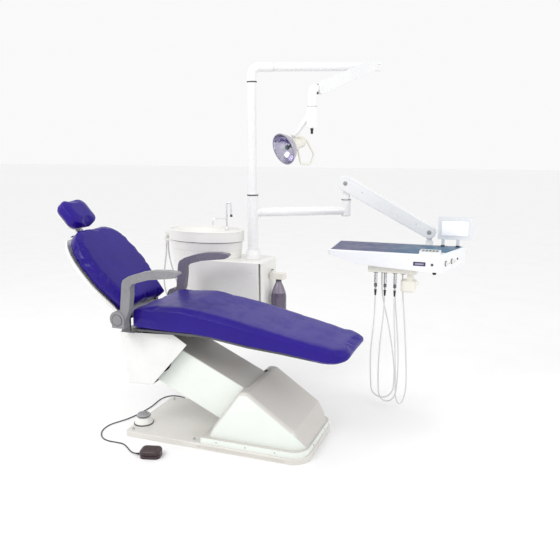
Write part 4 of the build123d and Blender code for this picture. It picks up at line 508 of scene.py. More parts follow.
HOSE_R = 0.004
HOSE_1_LINE = [(667, 553, 735), (667, 553, 672), (665, 558, 600), (660, 565, 524), (652, 573, 446), (645, 580, 368),
          (642, 587, 292), (643, 594, 222), (646, 600, 158), (648, 604, 100), (686, 610, 62), (738, 615, 62),
          (776, 620, 100), (781, 624, 164), (780, 628, 236), (770, 632, 312), (757, 636, 390), (742, 639, 468),
          (724, 642, 546), (704, 643, 622), (690, 640, 696), (686, 636, 768), (686, 636, 838)]
HOSE_2_LINE = [(721, 553, 735), (721, 553, 672), (718, 556, 600), (711, 562, 524), (703, 568, 446), (697, 574, 368),
          (693, 580, 290), (692, 586, 214), (693, 592, 142), (696, 598, 80), (724, 608, 40), (764, 618, 40),
          (792, 628, 80), (797, 634, 146), (799, 640, 220), (797, 646, 300), (792, 650, 380), (785, 652, 460),
          (777, 652, 540), (769, 649, 618), (763, 643, 694), (761, 636, 768), (761, 636, 838)]
HOSE_3_LINE = [(777, 553, 735), (777, 553, 672), (779, 554, 600), (783, 557, 524), (788, 558, 446), (791, 561, 368),
          (796, 562, 290), (798, 565, 214), (800, 566, 144), (802, 571, 84), (816, 597, 36), (832, 631, 36),
          (845, 656, 84), (848, 660, 148), (846, 660, 222), (841, 659, 300), (836, 657, 380), (830, 654, 460),
          (824, 650, 540), (817, 645, 618), (810, 640, 694), (806, 636, 768), (806, 636, 838)]
SUCTION_1_LINE = [(-702, 600, 928), (-702, 600, 888), (-698, 600, 846), (-690, 601, 802), (-678, 602, 758),
             (-664, 603, 714), (-649, 604, 669), (-634, 606, 626), (-617, 606, 588), (-588, 606, 562),
             (-546, 606, 562)]
SUCTION_2_LINE = [(-702, 576, 928), (-702, 576, 888), (-711, 581, 842), (-724, 588, 792), (-737, 597, 736),
             (-746, 605, 676), (-745, 611, 616), (-730, 615, 562), (-698, 616, 518), (-648, 616, 492),
             (-596, 616, 482), (-546, 616, 482)]
CABLE_LINE = [(-445, 268, 13), (-445, 290, 13), (-456, 312, 6), (-482, 326, 3.2), (-512, 332, 3.2), (-552, 326, 3.2),
         (-580, 296, 3.2), (-592, 254, 3.2), (-590, 205, 3.2), (-584, 152, 3.2), (-586, 96, 3.2), (-592, 40, 3.2),
         (-602, -16, 3.2), (-617, -70, 3.2), (-640, -116, 3.2), (-664, -158, 3.2), (-672, -208, 3.2),
         (-662, -258, 3.2), (-636, -302, 3.2), (-598, -336, 3.2), (-552, -350, 3.2), (-506, -347, 3.2),
         (-460, -349, 3.2), (-418.4, -379, 3.2), (-382.4, -408.8, 3.2), (-343.4, -431.3, 8), (-310.4, -423.1, 8)]
hose("hose_to_drill", "hose_1", HOSE_1_LINE, HOSE_R, "tray", HOSE)
hose("hose_to_turbine", "hose_2", HOSE_2_LINE, HOSE_R, "tray", HOSE)
hose("hose_to_syringe", "hose_3", HOSE_3_LINE, HOSE_R, "tray", HOSE)
hose("saliva_hose", "suction_hose_1", SUCTION_1_LINE, 0.005, "upper_frame", HOSE)
hose("suction_hose", "suction_hose_2", SUCTION_2_LINE, 0.005, "upper_frame", HOSE)
hose("foot_switch_cable", "foot_cable", CABLE_LINE, 0.003, "base", CABLE)


def relief(name, at, direction, radius, length, body, slot, material=BLACK, ribs=5):
    """Tapered ribbed sleeve where a hose or cable leaves a housing."""
    profile = [(radius * 0.55, 0.0), (radius * 1.9, 0.0), (radius * 1.9, length * 0.18)]
    for k in range(ribs):
        a = length * (0.22 + 0.74 * k / ribs)
        w = length * 0.74 / ribs
        r = radius * (1.8 - 0.55 * k / ribs)
        profile += [(r * 0.86, a), (r, a + w * 0.25), (r, a + w * 0.6), (r * 0.86, a + w * 0.8)]
    profile += [(radius * 1.08, length), (radius * 0.55, length)]
    bm = bmesh.new()
    turned(bm, at, direction, profile, 24)
    return from_bmesh(name, bm, body, material)


for k, (x, y, z) in enumerate(((0.667, 0.553, 0.734), (0.721, 0.553, 0.734), (0.777, 0.553, 0.734))):
    relief(f"hose_relief_{k + 1}", (x, y, z), (0, 0, -1), HOSE_R, 0.034, "tray", "hose_grey")
for k, x in enumerate((0.686, 0.761, 0.806)):
    relief(f"hose_socket_{k + 1}", (x, 0.636, 0.8375), (0, 0, -1), HOSE_R, 0.022, "tray", "hose_grey", DARK_RING, 3)
relief("cable_relief_base", (-0.445, 0.2675, 0.013), (0, 1, 0), 0.003, 0.026, "base", "cable_black")
relief("cable_relief_pedal", (-0.3100, -0.4230, 0.008), (-0.9703, -0.2419, 0), 0.003, 0.024, "base", "cable_black")
for k, (y, z) in enumerate(((0.606, 0.562), (0.616, 0.482))):
    relief(f"suction_relief_{k + 1}", (-0.5462, y, z), (-1, 0, 0), 0.005, 0.022, "upper_frame", "hose_grey", DARK_RING, 3)


# ------------------------------------------------------------------ cushions
def cushion(name, node, body, voxel, cap, shrink):
    """Padded form blown up from a slightly smaller copy of its solid, kept smooth."""
    source = NODES[node]
    bm = bmesh.new()
    bm.from_mesh(source.data)
    bmesh.ops.remove_doubles(bm, verts=bm.verts, dist=1e-5)
    bmesh.ops.recalc_face_normals(bm, faces=bm.faces)
    mesh = bpy.data.meshes.new(name)
    bm.to_mesh(mesh)
    bm.free()
    obj = bpy.data.objects.new(name, mesh)
    scene.collection.objects.link(obj)
    remesh = obj.modifiers.new("even", "REMESH")
    remesh.mode = "VOXEL"
    remesh.voxel_size = voxel
    settle(obj)
    bm = bmesh.new()
    bm.from_mesh(obj.data)
    for _ in range(3):
        bmesh.ops.smooth_vert(bm, verts=bm.verts, factor=0.5, use_axis_x=True, use_axis_y=True, use_axis_z=True)
    bm.normal_update()
    for v in bm.verts:
        v.co -= v.normal * shrink
    bm.to_mesh(obj.data)
    bm.free()
    start = [v.co.copy() for v in obj.data.vertices]
    cloth = obj.modifiers.new("air", "CLOTH")
    cloth.settings.quality = 5
    cloth.settings.use_pressure = True
    cloth.settings.uniform_pressure_force = 4.0
    cloth.settings.effector_weights.gravity = 0.0
    cloth.settings.tension_stiffness = 15.0
    cloth.settings.compression_stiffness = 15.0
    cloth.collision_settings.use_collision = False
    cloth.point_cache.frame_start, cloth.point_cache.frame_end = 1, 20
    for step in range(1, 21):
        scene.frame_set(step)
    settle(obj)
    scene.frame_set(1)
    for v, origin in zip(obj.data.vertices, start):
        moved = v.co - origin
        if moved.length > cap:
            v.co = origin + moved * (cap / moved.length)
    bm = bmesh.new()
    bm.from_mesh(obj.data)
    for _ in range(2):
        bmesh.ops.smooth_vert(bm, verts=bm.verts, factor=0.5, use_axis_x=True, use_axis_y=True, use_axis_z=True)
    bm.to_mesh(obj.data)
    bm.free()
    finer = obj.modifiers.new("finer", "SUBSURF")
    finer.levels = finer.render_levels = 1
    settle(obj)
    place_piece(obj, body, VINYL, (node,), 180.0)
    return obj


def settle(obj):
    """Applies the modifiers on obj."""
    bpy.context.view_layer.update()
    mesh = bpy.data.meshes.new_from_object(obj.evaluated_get(bpy.context.evaluated_depsgraph_get()))
    old = obj.data
    obj.modifiers.clear()
    obj.data = mesh
    bpy.data.meshes.remove(old)


seat_pad = cushion("seat_and_leg_pad", "seat_cushion", "upper_frame", 0.0075, 0.016, 0.006)
back_pad = cushion("back_pad", "backrest_cushion", "backrest", 0.006, 0.015, 0.006)
head_pad = cushion("head_pad", "headrest_cushion", "headrest", 0.005, 0.010, 0.004)


# ------------------------------------------------------------------ finishes of the solids that stay
def coat_node(node, material):
    data = NODES[node].data
    data.materials.clear()
    data.materials.append(material)


for node, material in {
        "base_plate": BASE_PAINT, "base_pins": STEEL, "base_cover": COVER, "pump_unit": FRAME, "lift_cylinder": FRAME,
        "lift_rod": CHROME, "foot_control": UNIT, "foot_knob": KNOB_GREY, "lift_arm_beam": FRAME,
        "lift_arm_cover": COVER, "parallel_link": FRAME, "seat_frame": FRAME, "frame_pins": STEEL,
        "seat_box_cover": BOX_SHELL, "seat_pan": PAN, "backrest_shell": UNIT, "backrest_frame": FRAME,
        "headrest_bar": STEEL, "headrest_shell": UNIT, "armrest_near": ARM_GREY_LIT_COPY, "armrest_far": ARM_GREY_PAINTED_SHADE,
        "unit_bracket": FRAME, "unit_box": UNIT, "cuspidor_bowl": UNIT, "cup_filler": CHROME, "rinse_pipe": CHROME,
        "pole": MAST, "bottle_bracket": CREAM, "bottle": BOTTLE, "suction_holder": UNIT, "lamp_arm": MAST,
        "lamp_knuckle": ARM_WHITE, "lamp_spring_arm": ARM_WHITE, "lamp_drop": MAST, "lamp_yoke": ARM_WHITE,
        "lamp_housing": CREAM, "lamp_reflector": SHELL_GREY, "lamp_bulb": BULB, "tray_arm": MAST, "tray_post": ARM_WHITE,
        "tray_spring_arm": ARM_WHITE, "tray_carrier": ARM_WHITE, "tray_body": TRAY, "tray_mat": MAT,
        "tray_knob_1": UNIT, "tray_knob_2": UNIT, "film_viewer": VIEWER, "handpiece_holder": CREAM,
        "handpieces": STEEL, "foot_pedal_base": PEDAL, "foot_pedal": PEDAL}.items():
    coat_node(node, material)


def softened(node, name, body, material, width, shortest=0.012, turn=28.0):
    """A copy of a moulded cover with its long sharp corners rounded, which stands for the solid."""
    bm = bmesh.new()
    bm.from_mesh(NODES[node].data)
    bmesh.ops.remove_doubles(bm, verts=bm.verts, dist=1e-5)
    bmesh.ops.dissolve_limit(bm, angle_limit=math.radians(0.6), verts=bm.verts, edges=bm.edges)
    mesh = bpy.data.meshes.new(name)
    weight = bm.edges.layers.float.new("bevel_weight_edge")
    for e in bm.edges:
        if len(e.link_faces) == 2 and e.calc_length() > shortest and e.calc_face_angle(0.0) > math.radians(turn):
            e[weight] = 1.0
    bm.to_mesh(mesh)
    bm.free()
    obj = bpy.data.objects.new(name, mesh)
    scene.collection.objects.link(obj)
    bevel = obj.modifiers.new("corner", "BEVEL")
    bevel.limit_method = "WEIGHT"
    bevel.width = width
    bevel.segments = 3
    bevel.use_clamp_overlap = True
    bevel.miter_outer = "MITER_ARC"
    settle(obj)
    return place_piece(obj, body, material, (node,), 32.0)


softened("seat_box_cover", "seat_box_shell", "upper_frame", BOX_SHELL, 0.0035)
softened("lift_arm_cover", "lift_arm_shell", "lift_arm", COVER, 0.0035)
softened("film_viewer", "film_viewer_case", "tray", VIEWER, 0.0015)
softened("handpiece_holder", "handpiece_rail", "tray", CREAM, 0.003)
softened("tray_mat", "tray_mat_sheet", "tray", MAT, 0.0012)


# ------------------------------------------------------------------ repeated parts, laid out by geometry nodes
def seats(name, spots):
    """Points with an outward direction, for the layouts below."""
    mesh = bpy.data.meshes.new(name)
    mesh.from_pydata([tuple(at) for at, _ in spots], [], [])
    facing = mesh.attributes.new("facing", "FLOAT_VECTOR", "POINT")
    for k, (_, way) in enumerate(spots):
        facing.data[k].vector = Vector(way).normalized()
    obj = bpy.data.objects.new(name, mesh)
    scene.collection.objects.link(obj)
    return obj


def layout_tree(name, sizes, make_parts):
    """Tree that sets parts on points: make_parts gives (geometry socket, material) pairs, laid with +Z outwards."""
    tree = bpy.data.node_groups.new(name, "GeometryNodeTree")
    tree.interface.new_socket("Geometry", in_out="INPUT", socket_type="NodeSocketGeometry")
    for label, value in sizes:
        tree.interface.new_socket(label, in_out="INPUT", socket_type="NodeSocketFloat").default_value = value
    tree.interface.new_socket("Geometry", in_out="OUTPUT", socket_type="NodeSocketGeometry")
    gin, gout = tree.nodes.new("NodeGroupInput"), tree.nodes.new("NodeGroupOutput")
    facing = tree.nodes.new("GeometryNodeInputNamedAttribute")
    facing.data_type = "FLOAT_VECTOR"
    facing.inputs["Name"].default_value = "facing"
    aim = tree.nodes.new("FunctionNodeAlignRotationToVector")
    aim.axis = "Z"
    tree.links.new(facing.outputs["Attribute"], aim.inputs["Vector"])
    joined = tree.nodes.new("GeometryNodeJoinGeometry")
    for part, material in make_parts(tree, gin):
        lay = tree.nodes.new("GeometryNodeInstanceOnPoints")
        tree.links.new(gin.outputs["Geometry"], lay.inputs["Points"])
        tree.links.new(part, lay.inputs["Instance"])
        tree.links.new(aim.outputs["Rotation"], lay.inputs["Rotation"])
        real = tree.nodes.new("GeometryNodeRealizeInstances")
        tree.links.new(lay.outputs["Instances"], real.inputs["Geometry"])
        paint = tree.nodes.new("GeometryNodeSetMaterial")
        paint.inputs["Material"].default_value = material
        tree.links.new(real.outputs["Geometry"], paint.inputs["Geometry"])
        tree.links.new(paint.outputs["Geometry"], joined.inputs["Geometry"])
    tree.links.new(joined.outputs["Geometry"], gout.inputs["Geometry"])
    return tree


def drum(tree, radius, depth, sides, lift, taper=1.0):
    """A short cone or cylinder standing lift above its seat; radius and depth are sockets or numbers."""
    n = tree.nodes.new("GeometryNodeMeshCone")
    n.inputs["Vertices"].default_value = sides
    for label, x in (("Radius Bottom", radius), ("Radius Top", maths(tree, "MULTIPLY", radius, taper)), ("Depth", depth)):
        if isinstance(x, (int, float)):
            n.inputs[label].default_value = x
        else:
            tree.links.new(x, n.inputs[label])
    shift = tree.nodes.new("GeometryNodeTransform")
    shift.inputs["Translation"].default_value = (0, 0, lift)
    tree.links.new(n.outputs["Mesh"], shift.inputs["Geometry"])
    return shift.outputs["Geometry"]


def screw_parts(tree, gin):
    return [(drum(tree, gin.outputs["Head radius"], gin.outputs["Head height"], 20, 0.0, 0.8), SCREW),
            (drum(tree, maths(tree, "MULTIPLY", gin.outputs["Head radius"], 0.45), maths(tree, "MULTIPLY",
                  gin.outputs["Head height"], 1.04), 6, 0.0), BLACK)]


def cap_parts(tree, gin):
    return [(drum(tree, gin.outputs["Head radius"], gin.outputs["Head height"], 24, 0.0, 0.7), UNIT)]


def dark_cap_parts(tree, gin):
    return [(drum(tree, gin.outputs["Head radius"], gin.outputs["Head height"], 24, 0.0, 0.75), DARK_RING)]


def key_parts(tree, gin):
    return [(drum(tree, gin.outputs["Head radius"], gin.outputs["Head height"], 16, 0.0, 0.9), KEY_DARK)]


def rib_parts(tree, gin):
    return [(drum(tree, gin.outputs["Head radius"], gin.outputs["Head height"], 10, 0.0, 0.85), PEDAL)]


HEADS = [("Head radius", 0.004), ("Head height", 0.002)]
SCREW_TREE = layout_tree("screws", HEADS, screw_parts)
CAP_TREE = layout_tree("screw_caps", HEADS, cap_parts)
DARK_CAP_TREE = layout_tree("dark_buttons", HEADS, dark_cap_parts)
KEY_TREE = layout_tree("keypad_keys", HEADS, key_parts)
RIB_TREE = layout_tree("tread_studs", HEADS, rib_parts)


def lay_out(name, spots, tree, radius, height, body):
    obj = seats(name, spots)
    layout = obj.modifiers.new("layout", "NODES")
    layout.node_group = tree
    for item in tree.interface.items_tree:
        if item.in_out == "INPUT" and item.name == "Head radius":
            layout[item.identifier] = radius
        elif item.in_out == "INPUT" and item.name == "Head height":
            layout[item.identifier] = height
    settle(obj)
    return place_piece(obj, body, None)


SURFACES = {}


def on_cover(node, start, way):
    """The point where a straight line first meets a node's surface, with the surface's outward direction."""
    if node not in SURFACES:
        solid = NODES[node]
        SURFACES[node] = BVHTree.FromPolygons([solid.matrix_world @ v.co for v in solid.data.vertices],
                                              [tuple(p.vertices) for p in solid.data.polygons])
    at, normal, _, _ = SURFACES[node].ray_cast(Vector(start), Vector(way).normalized())
    if at is None:
        raise RuntimeError(f"no surface of {node} on that line")
    if normal.dot(Vector(way)) > 0:
        normal = -normal
    return at, normal


skirt = [on_cover("base_cover", (x, side * 0.5, 0.046), (0, -side, 0)) for x in (0.03, 0.19, 0.35) for side in (-1, 1)]
skirt += [on_cover("base_cover", (0.9, y, 0.046), (-1, 0, 0)) for y in (-0.1, 0.1)]
lay_out("cover_skirt_screws", skirt, SCREW_TREE, 0.0042, 0.0030, "base")
lay_out("floor_bolt_heads", [((x, y, 0.0315), (0, 0, 1)) for x in (-0.48, -0.11) for y in (-0.225, 0.225)], SCREW_TREE,
        0.0085, 0.0055, "base")
arm_spots = []
for along in (0.22, 0.44):
    for side in (-1, 1):
        centre = Vector((0.22 - along * math.cos(math.radians(25)), side * 0.4, 0.154 + along * math.sin(math.radians(25)) + 0.03))
        arm_spots.append(on_cover("lift_arm_cover", centre, (0, -side, 0)))
lay_out("arm_cover_caps", arm_spots, CAP_TREE, 0.005, 0.0022, "lift_arm")
box_spots = [on_cover("seat_box_cover", (x, side * 0.4, z), (0, -side, 0)) for x, z in ((-0.525, 0.54), (-0.26, 0.555),
             (-0.49, 0.30)) for side in (-1, 1)]
lay_out("seat_box_caps", box_spots, CAP_TREE, 0.005, 0.0022, "upper_frame")
unit_spots = [on_cover("unit_box", (x, side * 0.5 + 0.585, z), (0, -side, 0)) for x, z in ((-0.43, 0.46), (-0.06, 0.46),
              (-0.06, 0.80)) for side in (-1, 1)]
lay_out("unit_panel_caps", unit_spots, CAP_TREE, 0.0055, 0.0024, "upper_frame")


# ------------------------------------------------------------------ base, foot joystick and pedal
bm = bmesh.new()
turned(bm, (-0.47, -0.135, 0.0), (0, 0, 1), [(0.0375, 0.0745), (0.0395, 0.0752), (0.0395, 0.0768), (0.0375, 0.0775)], 56)
from_bmesh("joystick_rim_ring", bm, "foot_knob", DARK_RING)
dish = [((-0.47 + r * math.cos(a), -0.135 + r * math.sin(a), z), (0.18 * math.cos(a), 0.18 * math.sin(a), 1))
        for r, count, z in ((0.008, 6, 0.0913), (0.017, 12, 0.0905), (0.0265, 18, 0.0873))
        for a in [2 * math.pi * k / count for k in range(count)]]
lay_out("joystick_grip_studs", dish, DARK_CAP_TREE, 0.0017, 0.0016, "foot_knob")
bm = bmesh.new()
turned(bm, (-0.47, -0.135, 0.0), (0, 0, 1), [(0.0505, 0.0302), (0.0545, 0.0302), (0.0545, 0.0335), (0.0510, 0.0360)], 56)
from_bmesh("joystick_base_gasket", bm, "base", DARK_RING)

pedal_turn = Matrix.Rotation(math.radians(14), 3, "Z")
pedal_at = Vector((-0.258, -0.410, 0.0402))
tread = [(pedal_at + pedal_turn @ Vector((0.0105 * i, 0.0105 * j, 0.0)), (0, 0, 1)) for i in range(-3, 4) for j in range(-2, 3)]
lay_out("pedal_tread_studs", tread, RIB_TREE, 0.0028, 0.0018, "foot_pedal")

# ------------------------------------------------------------------ armrests
# Each hub cap takes its armrest's copy, so the far caps carry the painted shade too.
for name, body, side, paint in (("near", "armrest_near", -1, ARM_GREY_LIT_COPY), ("far", "armrest_far", 1, ARM_GREY_PAINTED_SHADE)):
    low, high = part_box(body)
    face = low.y if side < 0 else high.y
    at, way = on_cover(body, (-0.485, side * 0.6, 0.664), (0, -side, 0))
    bm = bmesh.new()
    turned(bm, (at.x, at.y, at.z), (0, side, 0), [(0.0, 0.0042), (0.020, 0.0040), (0.0265, 0.0024), (0.0280, -0.0010),
                                                 (0.0, -0.0010)], 48)
    from_bmesh(f"armrest_hub_cap_{name}", bm, body, paint)
    bm = bmesh.new()
    turned(bm, (at.x, at.y, at.z), (0, side, 0), [(0.0290, -0.0010), (0.0305, -0.0010), (0.0305, 0.0008), (0.0290, 0.0012)], 48)
    from_bmesh(f"armrest_hub_seam_{name}", bm, body, DARK_RING)

# ------------------------------------------------------------------ side unit, cuspidor and mast
def oval_band(name, centre, half_x, half_y, z0, z1, proud, body, material, slot, sides=96):
    bm = bmesh.new()
    rings = []
    for grow, z in ((-0.002, z0), (proud, z0), (proud * 1.15, (z0 + z1) / 2), (proud, z1), (-0.002, z1)):
        rings.append([bm.verts.new((centre[0] + (half_x + grow) * math.cos(2 * math.pi * k / sides),
                                    centre[1] + (half_y + grow) * math.sin(2 * math.pi * k / sides), z)) for k in range(sides)])
    for a, b in zip(rings, rings[1:] + rings[:1]):
        for k in range(sides):
            j = (k + 1) % sides
            bm.faces.new((a[k], a[j], b[j], b[k]))
    return from_bmesh(name, bm, body, material)


def skirt_half(z):
    t = (z - 0.740) / 0.226
    return 0.216 + 0.025 * t, 0.106 + 0.035 * t


bowl = (-0.417, 0.580)
oval_band("bowl_rim_lip", bowl, 0.250, 0.150, 1.0225, 1.0275, 0.0016, "upper_frame", UNIT, "unit_white")
oval_band("bowl_rim_shadow_seam", bowl, *skirt_half(0.9635), 0.9615, 0.9655, 0.0007, "upper_frame", DARK_RING, "unit_white")
oval_band("bowl_skirt_seam", bowl, *skirt_half(0.911), 0.9100, 0.9118, 0.0005, "upper_frame", BASE_PAINT, "unit_white")
bm = bmesh.new()
turned(bm, (-0.455, 0.580, 0.0), (0, 0, 1), [(0.0, 0.9308), (0.013, 0.9308), (0.0185, 0.9322), (0.0215, 0.9312), (0.0215, 0.9300),
                                            (0.0, 0.9300)], 48)
from_bmesh("basin_strainer_plate", bm, "upper_frame", CHROME)
holes = [((-0.455 + r * math.cos(a), 0.580 + r * math.sin(a), 0.9309), (0, 0, 1)) for r, n in ((0.0045, 5), (0.0095, 10))
         for a in [2 * math.pi * k / n for k in range(n)]]
lay_out("basin_strainer_holes", holes, KEY_TREE, 0.0013, 0.0006, "upper_frame")
for name, x, y, z, body in (("cup_filler_collar", -0.283, 0.600, 1.036, "cup_filler"), ("rinse_pipe_collar", -0.306, 0.655, 1.0325, "upper_frame")):
    bm = bmesh.new()
    turned(bm, (x, y, z), (0, 0, 1), [(0.0045, 0.0), (0.0098, 0.0), (0.0098, 0.002), (0.0072, 0.0055), (0.0064, 0.010), (0.0045, 0.010)], 36)
    from_bmesh(name, bm, body, CHROME)
bm = bmesh.new()
turned(bm, (-0.253, 0.600, 1.110), (0, 0, 1), [(0.0035, 0.0), (0.0072, 0.0), (0.0076, 0.004), (0.0076, 0.012), (0.0061, 0.015),
                                              (0.0035, 0.015)], 36)
from_bmesh("cup_filler_nozzle", bm, "cup_filler", DARK_RING)
for name, z0, z1, r in (("mast_ring_lower", 1.2465, 1.2535, 0.0341), ("mast_ring_upper", 1.8975, 1.9045, 0.0293)):
    bm = bmesh.new()
    turned(bm, (-0.100, 0.580, 0.0), (0, 0, 1), [(r - 0.002, z0), (r, z0), (r + 0.0004, (z0 + z1) / 2), (r, z1), (r - 0.002, z1)], 64)
    from_bmesh(name, bm, "upper_frame", DARK_RING)
for k, z in enumerate((0.8665, 0.9175)):
    bm = bmesh.new()
    r = (0.0485, 0.0385)[k]
    turned(bm, (-0.100, 0.580, 0.0), (0, 0, 1), [(r - 0.003, z - 0.0022), (r, z - 0.0018), (r + 0.0006, z), (r, z + 0.0018), (r - 0.003, z + 0.0022)], 64)
    from_bmesh(f"mast_collar_bead_{k + 1}", bm, "upper_frame", MAST)

# water bottle: neck ring, cap ribs and the bracket's tap
bm = bmesh.new()
for z in (0.7350, 0.7395, 0.7440):
    turned(bm, (0.066, 0.580, z), (0, 0, 1), [(0.0155, -0.0016), (0.0175, -0.0012), (0.0179, 0.0), (0.0175, 0.0012), (0.0155, 0.0016)], 40)
from_bmesh("bottle_neck_rings", bm, "bottle", BLACK)
bm = bmesh.new()
turned(bm, (0.066, 0.580, 0.0), (0, 0, 1), [(0.046, 0.5160), (0.0478, 0.5170), (0.0480, 0.5200), (0.0478, 0.5230), (0.046, 0.5240)], 56)
from_bmesh("bottle_foot_bead", bm, "bottle", BOTTLE)
bm = bmesh.new()
turned(bm, (0.026, 0.580, 0.798), (0, 0, 1), [(0.0, 0.0085), (0.0065, 0.0080), (0.0088, 0.0060), (0.0092, 0.0020), (0.0085, -0.0008),
                                             (0.0, -0.0008)], 36)
from_bmesh("bracket_tap_button", bm, "upper_frame", KNOB_GREY)

# ------------------------------------------------------------------ operating light
WX, WY, LZ = 0.585, 0.812, 1.984
DX, DY, KZ = 0.418, 0.100, 1.814
span = math.hypot(DX - WX, DY - WY)
HX, HY = (DX - WX) / span, (DY - WY) / span
across = Vector((HY, -HX, 0))
T1 = Vector((WX + 0.06 * HX, WY + 0.06 * HY, LZ))
K1 = Vector((DX - 0.062 * HX, DY - 0.062 * HY, KZ))
mast_run = math.hypot(WX + 0.1, WY - 0.58)
AX, AY = (WX + 0.1) / mast_run, (WY - 0.58) / mast_run
bm = bmesh.new()
for at in (0.127, 0.134):
    turned(bm, (-0.1 + at * AX, 0.58 + at * AY, LZ), (AX, AY, 0), [(0.0245, -0.0016), (0.0262, -0.0012), (0.0266, 0.0), (0.0262, 0.0012), (0.0245, 0.0016)], 56)
from_bmesh("lamp_arm_elbow_beads", bm, "lamp_arm", MAST)
bm = bmesh.new()
turned(bm, (WX, WY, LZ + 0.0250), (0, 0, 1), [(0.0, 0.0026), (0.010, 0.0024), (0.0165, 0.0012), (0.0185, -0.0006), (0.0, -0.0006)], 48)
from_bmesh("lamp_swivel_cap", bm, "lamp_knuckle", MAST)
for name, at in (("upper", T1), ("lower", K1)):
    for side in (-1, 1):
        bm = bmesh.new()
        turned(bm, at + across * (side * 0.0228), across * side, [(0.0, 0.0032), (0.006, 0.0030), (0.0105, 0.0018), (0.0120, -0.0004), (0.0, -0.0004)], 40)
        from_bmesh(f"lamp_pivot_cap_{name}_{'near' if side > 0 else 'far'}", bm, "lamp_spring_arm", KNOB_GREY if side > 0 else ARM_WHITE)
bm = bmesh.new()
turned(bm, (DX, DY, 0.0), (0, 0, 1), [(0.0, 1.5955), (0.0042, 1.5955), (0.0064, 1.5985), (0.0064, 1.6140), (0.0080, 1.6150), (0.0080, 1.6225),
                                     (0.0, 1.6225)], 32)
from_bmesh("drop_tube_stop_pin", bm, "lamp_drop", BLACK)
for k, (z, r) in enumerate(((1.7265, 0.0252), (1.7150, 0.0276), (1.6280, 0.0276))):
    bm = bmesh.new()
    turned(bm, (DX, DY, 0.0), (0, 0, 1), [(r - 0.002, z - 0.0014), (r - 0.0004, z - 0.0011), (r, z), (r - 0.0004, z + 0.0011), (r - 0.002, z + 0.0014)], 48)
    from_bmesh(f"yoke_sleeve_bead_{k + 1}", bm, "lamp_yoke", CREAM if k else DARK_RING)

lamp_at = Vector((0.283, 0.097, 1.527))
shine = Vector((-0.5, -0.8, -0.33)).normalized()
tilt_axis = Vector((-shine.y, shine.x, 0)).normalized()
turn = axes_for(shine, tilt_axis)
liner = [(0.0133, -0.0372), (0.0230, -0.0345), (0.0330, -0.0318), (0.0425, -0.0288), (0.0500, -0.0222), (0.0560, -0.0168),
         (0.0612, -0.0110), (0.0655, -0.0030), (0.0697, 0.0050), (0.0738, 0.0130), (0.0752, 0.0166)]
bm = bmesh.new()
sides = 28
rings = [[bm.verts.new(lamp_at + turn @ Vector(((r - 0.0006) * math.cos(2 * math.pi * (k + 0.5 * (i % 2)) / sides),
          (r - 0.0006) * math.sin(2 * math.pi * (k + 0.5 * (i % 2)) / sides), n))) for k in range(sides)] for i, (r, n) in enumerate(liner)]
for i, (a, b) in enumerate(zip(rings, rings[1:])):
    for k in range(sides):
        j = (k + 1) % sides
        if i % 2:
            bm.faces.new((a[k], a[j], b[j]))
            bm.faces.new((a[k], b[j], b[k]))
        else:
            bm.faces.new((a[k], a[j], b[k]))
            bm.faces.new((a[j], b[j], b[k]))
dish_mesh = bpy.data.meshes.new("reflector_facet_liner")
bm.to_mesh(dish_mesh)
bm.free()
dish_obj = bpy.data.objects.new("reflector_facet_liner", dish_mesh)
scene.collection.objects.link(dish_obj)
wall = dish_obj.modifiers.new("wall", "SOLIDIFY")
wall.thickness = 0.0004
settle(dish_obj)
place_piece(dish_obj, "lamp_head", FACET, (), 2.0)
bm = bmesh.new()
turned(bm, lamp_at, shine, [(0.0772, 0.0130), (0.0806, 0.0124), (0.0812, 0.0150), (0.0806, 0.0182), (0.0772, 0.0182)], 72)
from_bmesh("reflector_rim_gasket", bm, "lamp_head", SHELL_GREY)
bm = bmesh.new()
turned(bm, lamp_at, shine, [(0.0, -0.0005), (0.0050, -0.0008), (0.0105, -0.0040), (0.0125, -0.0100), (0.0120, -0.0140), (0.0078, -0.0150), (0.0078, -0.0170), (0.0, -0.0170)], 36)
from_bmesh("bulb_glare_cap", bm, "lamp_head", BULB)
bm = bmesh.new()
for n in (-0.106, -0.098, -0.090, -0.082):
    turned(bm, lamp_at, shine, [(0.0300, n - 0.0013), (0.0316, n - 0.0010), (0.0320, n), (0.0316, n + 0.0010), (0.0300, n + 0.0013)], 48)
from_bmesh("lamp_housing_cooling_ribs", bm, "lamp_head", CREAM)

# ------------------------------------------------------------------ tray arm, balanced arm and tray
bm = bmesh.new()
tray_run = math.hypot(0.395 + 0.1, 0.900 - 0.58)
TX, TY = (0.395 + 0.1) / tray_run, (0.900 - 0.58) / tray_run
turned(bm, (-0.1 + 0.046 * TX, 0.58 + 0.046 * TY, 1.145), (TX, TY, 0), [(0.0262, -0.003), (0.0292, -0.0025), (0.0300, 0.0), (0.0292, 0.0025), (0.0262, 0.003)], 56)
from_bmesh("tray_arm_root_bead", bm, "tray_arm", MAST)
bm = bmesh.new()
turned(bm, (0.395, 0.900, 0.0), (0, 0, 1), [(0.0, 1.1095), (0.020, 1.1100), (0.0275, 1.1112), (0.0300, 1.1135), (0.0, 1.1135)], 56)
turned(bm, (0.395, 0.900, 0.0), (0, 0, 1), [(0.0282, 1.2085), (0.0306, 1.2090), (0.0312, 1.2110), (0.0300, 1.2132), (0.0282, 1.2132)], 56)
from_bmesh("tray_arm_end_cap", bm, "tray_arm", DARK_RING)
for name, at in (("upper", (0.395, 1.312)), ("lower", (0.915, 1.032))):
    for side in (-1, 1):
        bm = bmesh.new()
        turned(bm, (at[0], 0.900 + side * 0.0305, at[1]), (0, side, 0), [(0.0, 0.0034), (0.007, 0.0032), (0.0120, 0.0018), (0.0135, -0.0004), (0.0, -0.0004)], 40)
        from_bmesh(f"tray_pivot_cap_{name}_{'near' if side < 0 else 'far'}", bm, "tray_spring_arm", KNOB_GREY)
drop = math.atan2(0.280, 0.520)
